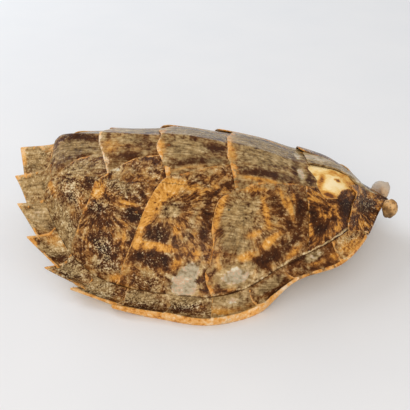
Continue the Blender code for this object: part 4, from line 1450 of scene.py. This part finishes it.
def dried_bone():
    material, tree, shader = blank_material("dried_bone")
    spot = add(tree, "ShaderNodeTexCoord").outputs["Object"]
    tint = add(tree, "ShaderNodeSeparateXYZ", (
        add(tree, "ShaderNodeAttribute", attribute_name="tint").outputs["Vector"],)).outputs
    window = add(tree, "ShaderNodeAttribute", attribute_name="window").outputs["Fac"]
    fibres = add(tree, "ShaderNodeMapping", {"Vector": spot, "Scale": (0.35, 1.0, 1.0)})
    soft = add(tree, "ShaderNodeTexNoise", {"Vector": spot, "Scale": 120.0, "Detail": 3.0})
    grain = add(tree, "ShaderNodeTexNoise", {"Vector": fibres, "Scale": 700.0, "Detail": 3.0})
    bare = sum_of(tree, 0.1, (tint[0], -0.36), (grain, 0.35), (soft, 0.75))
    inside = sum_of(tree, 0.0, (soft, 0.6), (grain, 0.4))
    colour = add(tree, "ShaderNodeMix", {
        "Factor": tint[2], "A": add(tree, "ShaderNodeValToRGB", (bare,), stops=BONE),
        "B": add(tree, "ShaderNodeValToRGB", (inside,), stops=INSIDE)}, data_type="RGBA")
    colour = add(tree, "ShaderNodeMix", {
        "Factor": sum_of(tree, 0.0, (window, 0.7)), "A": colour,
        "B": add(tree, "ShaderNodeValToRGB", (soft,), stops=((0.35, "5d3a1c"), (0.65, "9a6c38")))},
        data_type="RGBA")
    bump = add(tree, "ShaderNodeBump", {
        "Height": sum_of(tree, 0.0, (soft, 1.0), (grain, 0.4)), "Strength": 0.5, "Distance": 0.0006})
    plug(shader, {"Base Color": colour, "Normal": bump, "Roughness": 0.5, "Specular IOR Level": 0.3})
    return material


def weld(mesh, distance):
    bm = bmesh.new()
    bm.from_mesh(mesh)
    bmesh.ops.remove_doubles(bm, verts=bm.verts, dist=distance)
    bmesh.ops.dissolve_degenerate(bm, dist=distance, edges=bm.edges)
    bm.to_mesh(mesh)
    bm.free()
    mesh.shade_smooth()


left, left_windows = bone_half(1)
right, right_windows = bone_half(-1)
ring = np.concatenate([left, right[-2:0:-1]])
ring_windows = np.concatenate([left_windows, right_windows[-2:0:-1]])
ring[0, :, 1] = ring[len(left) - 1, :, 1] = 0
ring[:, (0, -1), 1] = 0
ring[..., 2] = np.maximum(ring[..., 2], 0)
ring = ring.transpose(1, 0, 2)
bone_mesh = mesh_of("bone_shell", ring * MM, grid_faces(ring.shape[0], ring.shape[1], loop=True))
store(bone_mesh, "window", ring_windows.T)
bone_tint = blotted("bone", ring[..., 0], ring[..., 1])[0]
bone_tint[..., 2] = np.arange(ring.shape[1]) >= OUTER_ROWS
bone_tint[:, len(left) + len(right) - 2 - OUTER_ROWS:, 2] = 0
store(bone_mesh, "tint", bone_tint, "FLOAT_VECTOR")
weld(bone_mesh, 0.00001)
bone_shell = put("bone_shell", bone_mesh)
bone_mesh.materials.append(dried_bone())
print("bone:", len(bone_mesh.polygons) * 2, "triangles")

# %% [markdown]
# ## The knobs at the neck
#
# Two rounded ends of bone stand beside the neck. A ball stretched to their size is too even, so its
# points are moved along the ball's own directions by two sizes of smooth noise: lobes, then grain.

# %% Shape the knobs
KNOB_CENTRE = (179.5, 16.4, 40)
KNOB_RADII = (6.6, 6.5, 10.4)
KNOB_TAIL = {1: 0.8, -1: 0.2}  # how far each is drawn out backwards, left and right


def worn_bone():
    """Bone rubbed by handling: tan to brown with dark pits; painted grey sheen on the left knob, painted
    shade underneath.
    """
    material, tree, shader = blank_material("worn_bone")
    spot = add(tree, "ShaderNodeTexCoord").outputs["Object"]
    soft = add(tree, "ShaderNodeTexNoise", {"Vector": spot, "Scale": 130.0, "Detail": 4.0})
    pits = add(tree, "ShaderNodeTexVoronoi", {"Vector": spot, "Scale": 330.0})
    pit = add(tree, "ShaderNodeMapRange", (pits, 0.38, 0.15))
    colour = add(tree, "ShaderNodeMix", {
        "Factor": sum_of(tree, 0.0, (pit, 0.6)), "A": add(tree, "ShaderNodeValToRGB", (soft,), stops=(
            (0.3, "6b4a26"), (0.45, "a27844"), (0.55, "c79a60"), (0.7, "d8b27c"))),
        "B": hex_colour("3a2412")}, data_type="RGBA")
    place = add(tree, "ShaderNodeSeparateXYZ", (spot,)).outputs
    # Painted sheen: the left knob is turned grey, for light reflected off it at a grazing angle.
    painted_sheen = add(tree, "ShaderNodeMapRange", (place[1], 0.008, 0.012))
    colour = add(tree, "ShaderNodeMix", {
        "Factor": sum_of(tree, 0.0, (painted_sheen, 0.8)), "A": colour, "B": hex_colour("b8b0a4")}, data_type="RGBA")
    # Painted shade: the knobs are darkened towards their undersides.
    low = add(tree, "ShaderNodeMapRange", (sum_of(tree, place[2], (soft, 0.02), (painted_sheen, 0.01)), 0.055, 0.044))
    colour = add(tree, "ShaderNodeMix", {
        "Factor": sum_of(tree, 0.0, (low, 0.8)), "A": colour, "B": hex_colour("58401f")}, data_type="RGBA")
    bump = add(tree, "ShaderNodeBump", {
        "Height": sum_of(tree, soft, (pit, -0.5)), "Strength": 0.6, "Distance": 0.0008})
    plug(shader, {"Base Color": colour, "Normal": bump, "Roughness": 0.45, "Specular IOR Level": 0.3})
    return material


def knob(bm, side):
    made = bmesh.ops.create_icosphere(bm, subdivisions=5, radius=1)
    for vert in made["verts"]:
        way = vert.co.copy()
        seed = Vector((0, 5 * side, 0))
        lobes = 1 + 0.16 * noise.noise(way * 1.5 + seed) + 0.04 * noise.noise(way * 5 + seed)
        lobes *= 1 + KNOB_TAIL[side] * max(0, -way.x) ** 2
        vert.co = Vector(
            (centre + radius * along * lobes) * MM
            for centre, radius, along in zip(KNOB_CENTRE, KNOB_RADII, way))
        vert.co.x -= MIDDLE_X * MM
        vert.co.y *= side
    if side < 0:
        bmesh.ops.reverse_faces(bm, faces=list({face for vert in made["verts"] for face in vert.link_faces}))


bm = bmesh.new()
for side in (1, -1):
    knob(bm, side)
knob_mesh = bpy.data.meshes.new("knobs")
bm.to_mesh(knob_mesh)
bm.free()
knob_mesh.shade_smooth()
knob_mesh.materials.append(worn_bone())
knobs = put("knobs", knob_mesh)

# %% Hand over the pieces
bpy.data.objects.remove(guide)
for piece in (bone_shell, back_plates, flank_plates, rim_plates, knobs):
    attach(piece, "root")
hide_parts("carapace")

# %% Floor and light
floor_corners = np.array([(-3, -3, 0), (3, -3, 0), (3, 3, 0), (-3, 3, 0)])  # metres
floor_mesh = mesh_of("floor", floor_corners, np.array([[0, 1, 2, 3]]))
floor = put("floor", floor_mesh)


def pale_card():
    """Matt card: almost even, with faint clouds from its pulp and a fine tooth."""
    material, tree, shader = blank_material("pale_card")
    spot = add(tree, "ShaderNodeTexCoord").outputs["Object"]
    clouds = add(tree, "ShaderNodeTexNoise", {"Vector": spot, "Scale": 9.0})
    tooth = add(tree, "ShaderNodeTexNoise", {"Vector": spot, "Scale": 2500.0})
    colour = add(tree, "ShaderNodeValToRGB", (clouds,), stops=((0.2, "e5e6e7"), (0.8, "e9e9e9")))
    bump = add(tree, "ShaderNodeBump", {"Height": tooth, "Strength": 0.1, "Distance": 0.0001})
    plug(shader, {"Base Color": colour, "Normal": bump, "Roughness": 0.7, "Specular IOR Level": 0.3})
    return material


floor_mesh.materials.append(pale_card())

scene = bpy.context.scene
scene.view_settings.view_transform = "Standard"
world = scene.world = bpy.data.worlds.new("studio")
world.use_nodes = True
backdrop = world.node_tree.nodes["Background"]
backdrop.inputs["Color"].default_value = hex_colour("ffffff")
backdrop.inputs["Strength"].default_value = 0.57


def softbox(name, size, power, colour, place):
    """A square area light that faces the shell."""
    data = bpy.data.lights.new(name, "AREA")
    data.size, data.energy, data.color = size, power, hex_colour(colour)[:3]
    lamp = put(name, data)
    lamp.location = place
    lamp.rotation_euler = (AIM - lamp.location).to_track_quat("-Z", "Y").to_euler()


softbox("window", 2.0, 60, "eaf3ff", (-2.0, 2.0, 1.8))
softbox("fill", 2.0, 56, "fff0e2", (0, -2.8, 1.8))
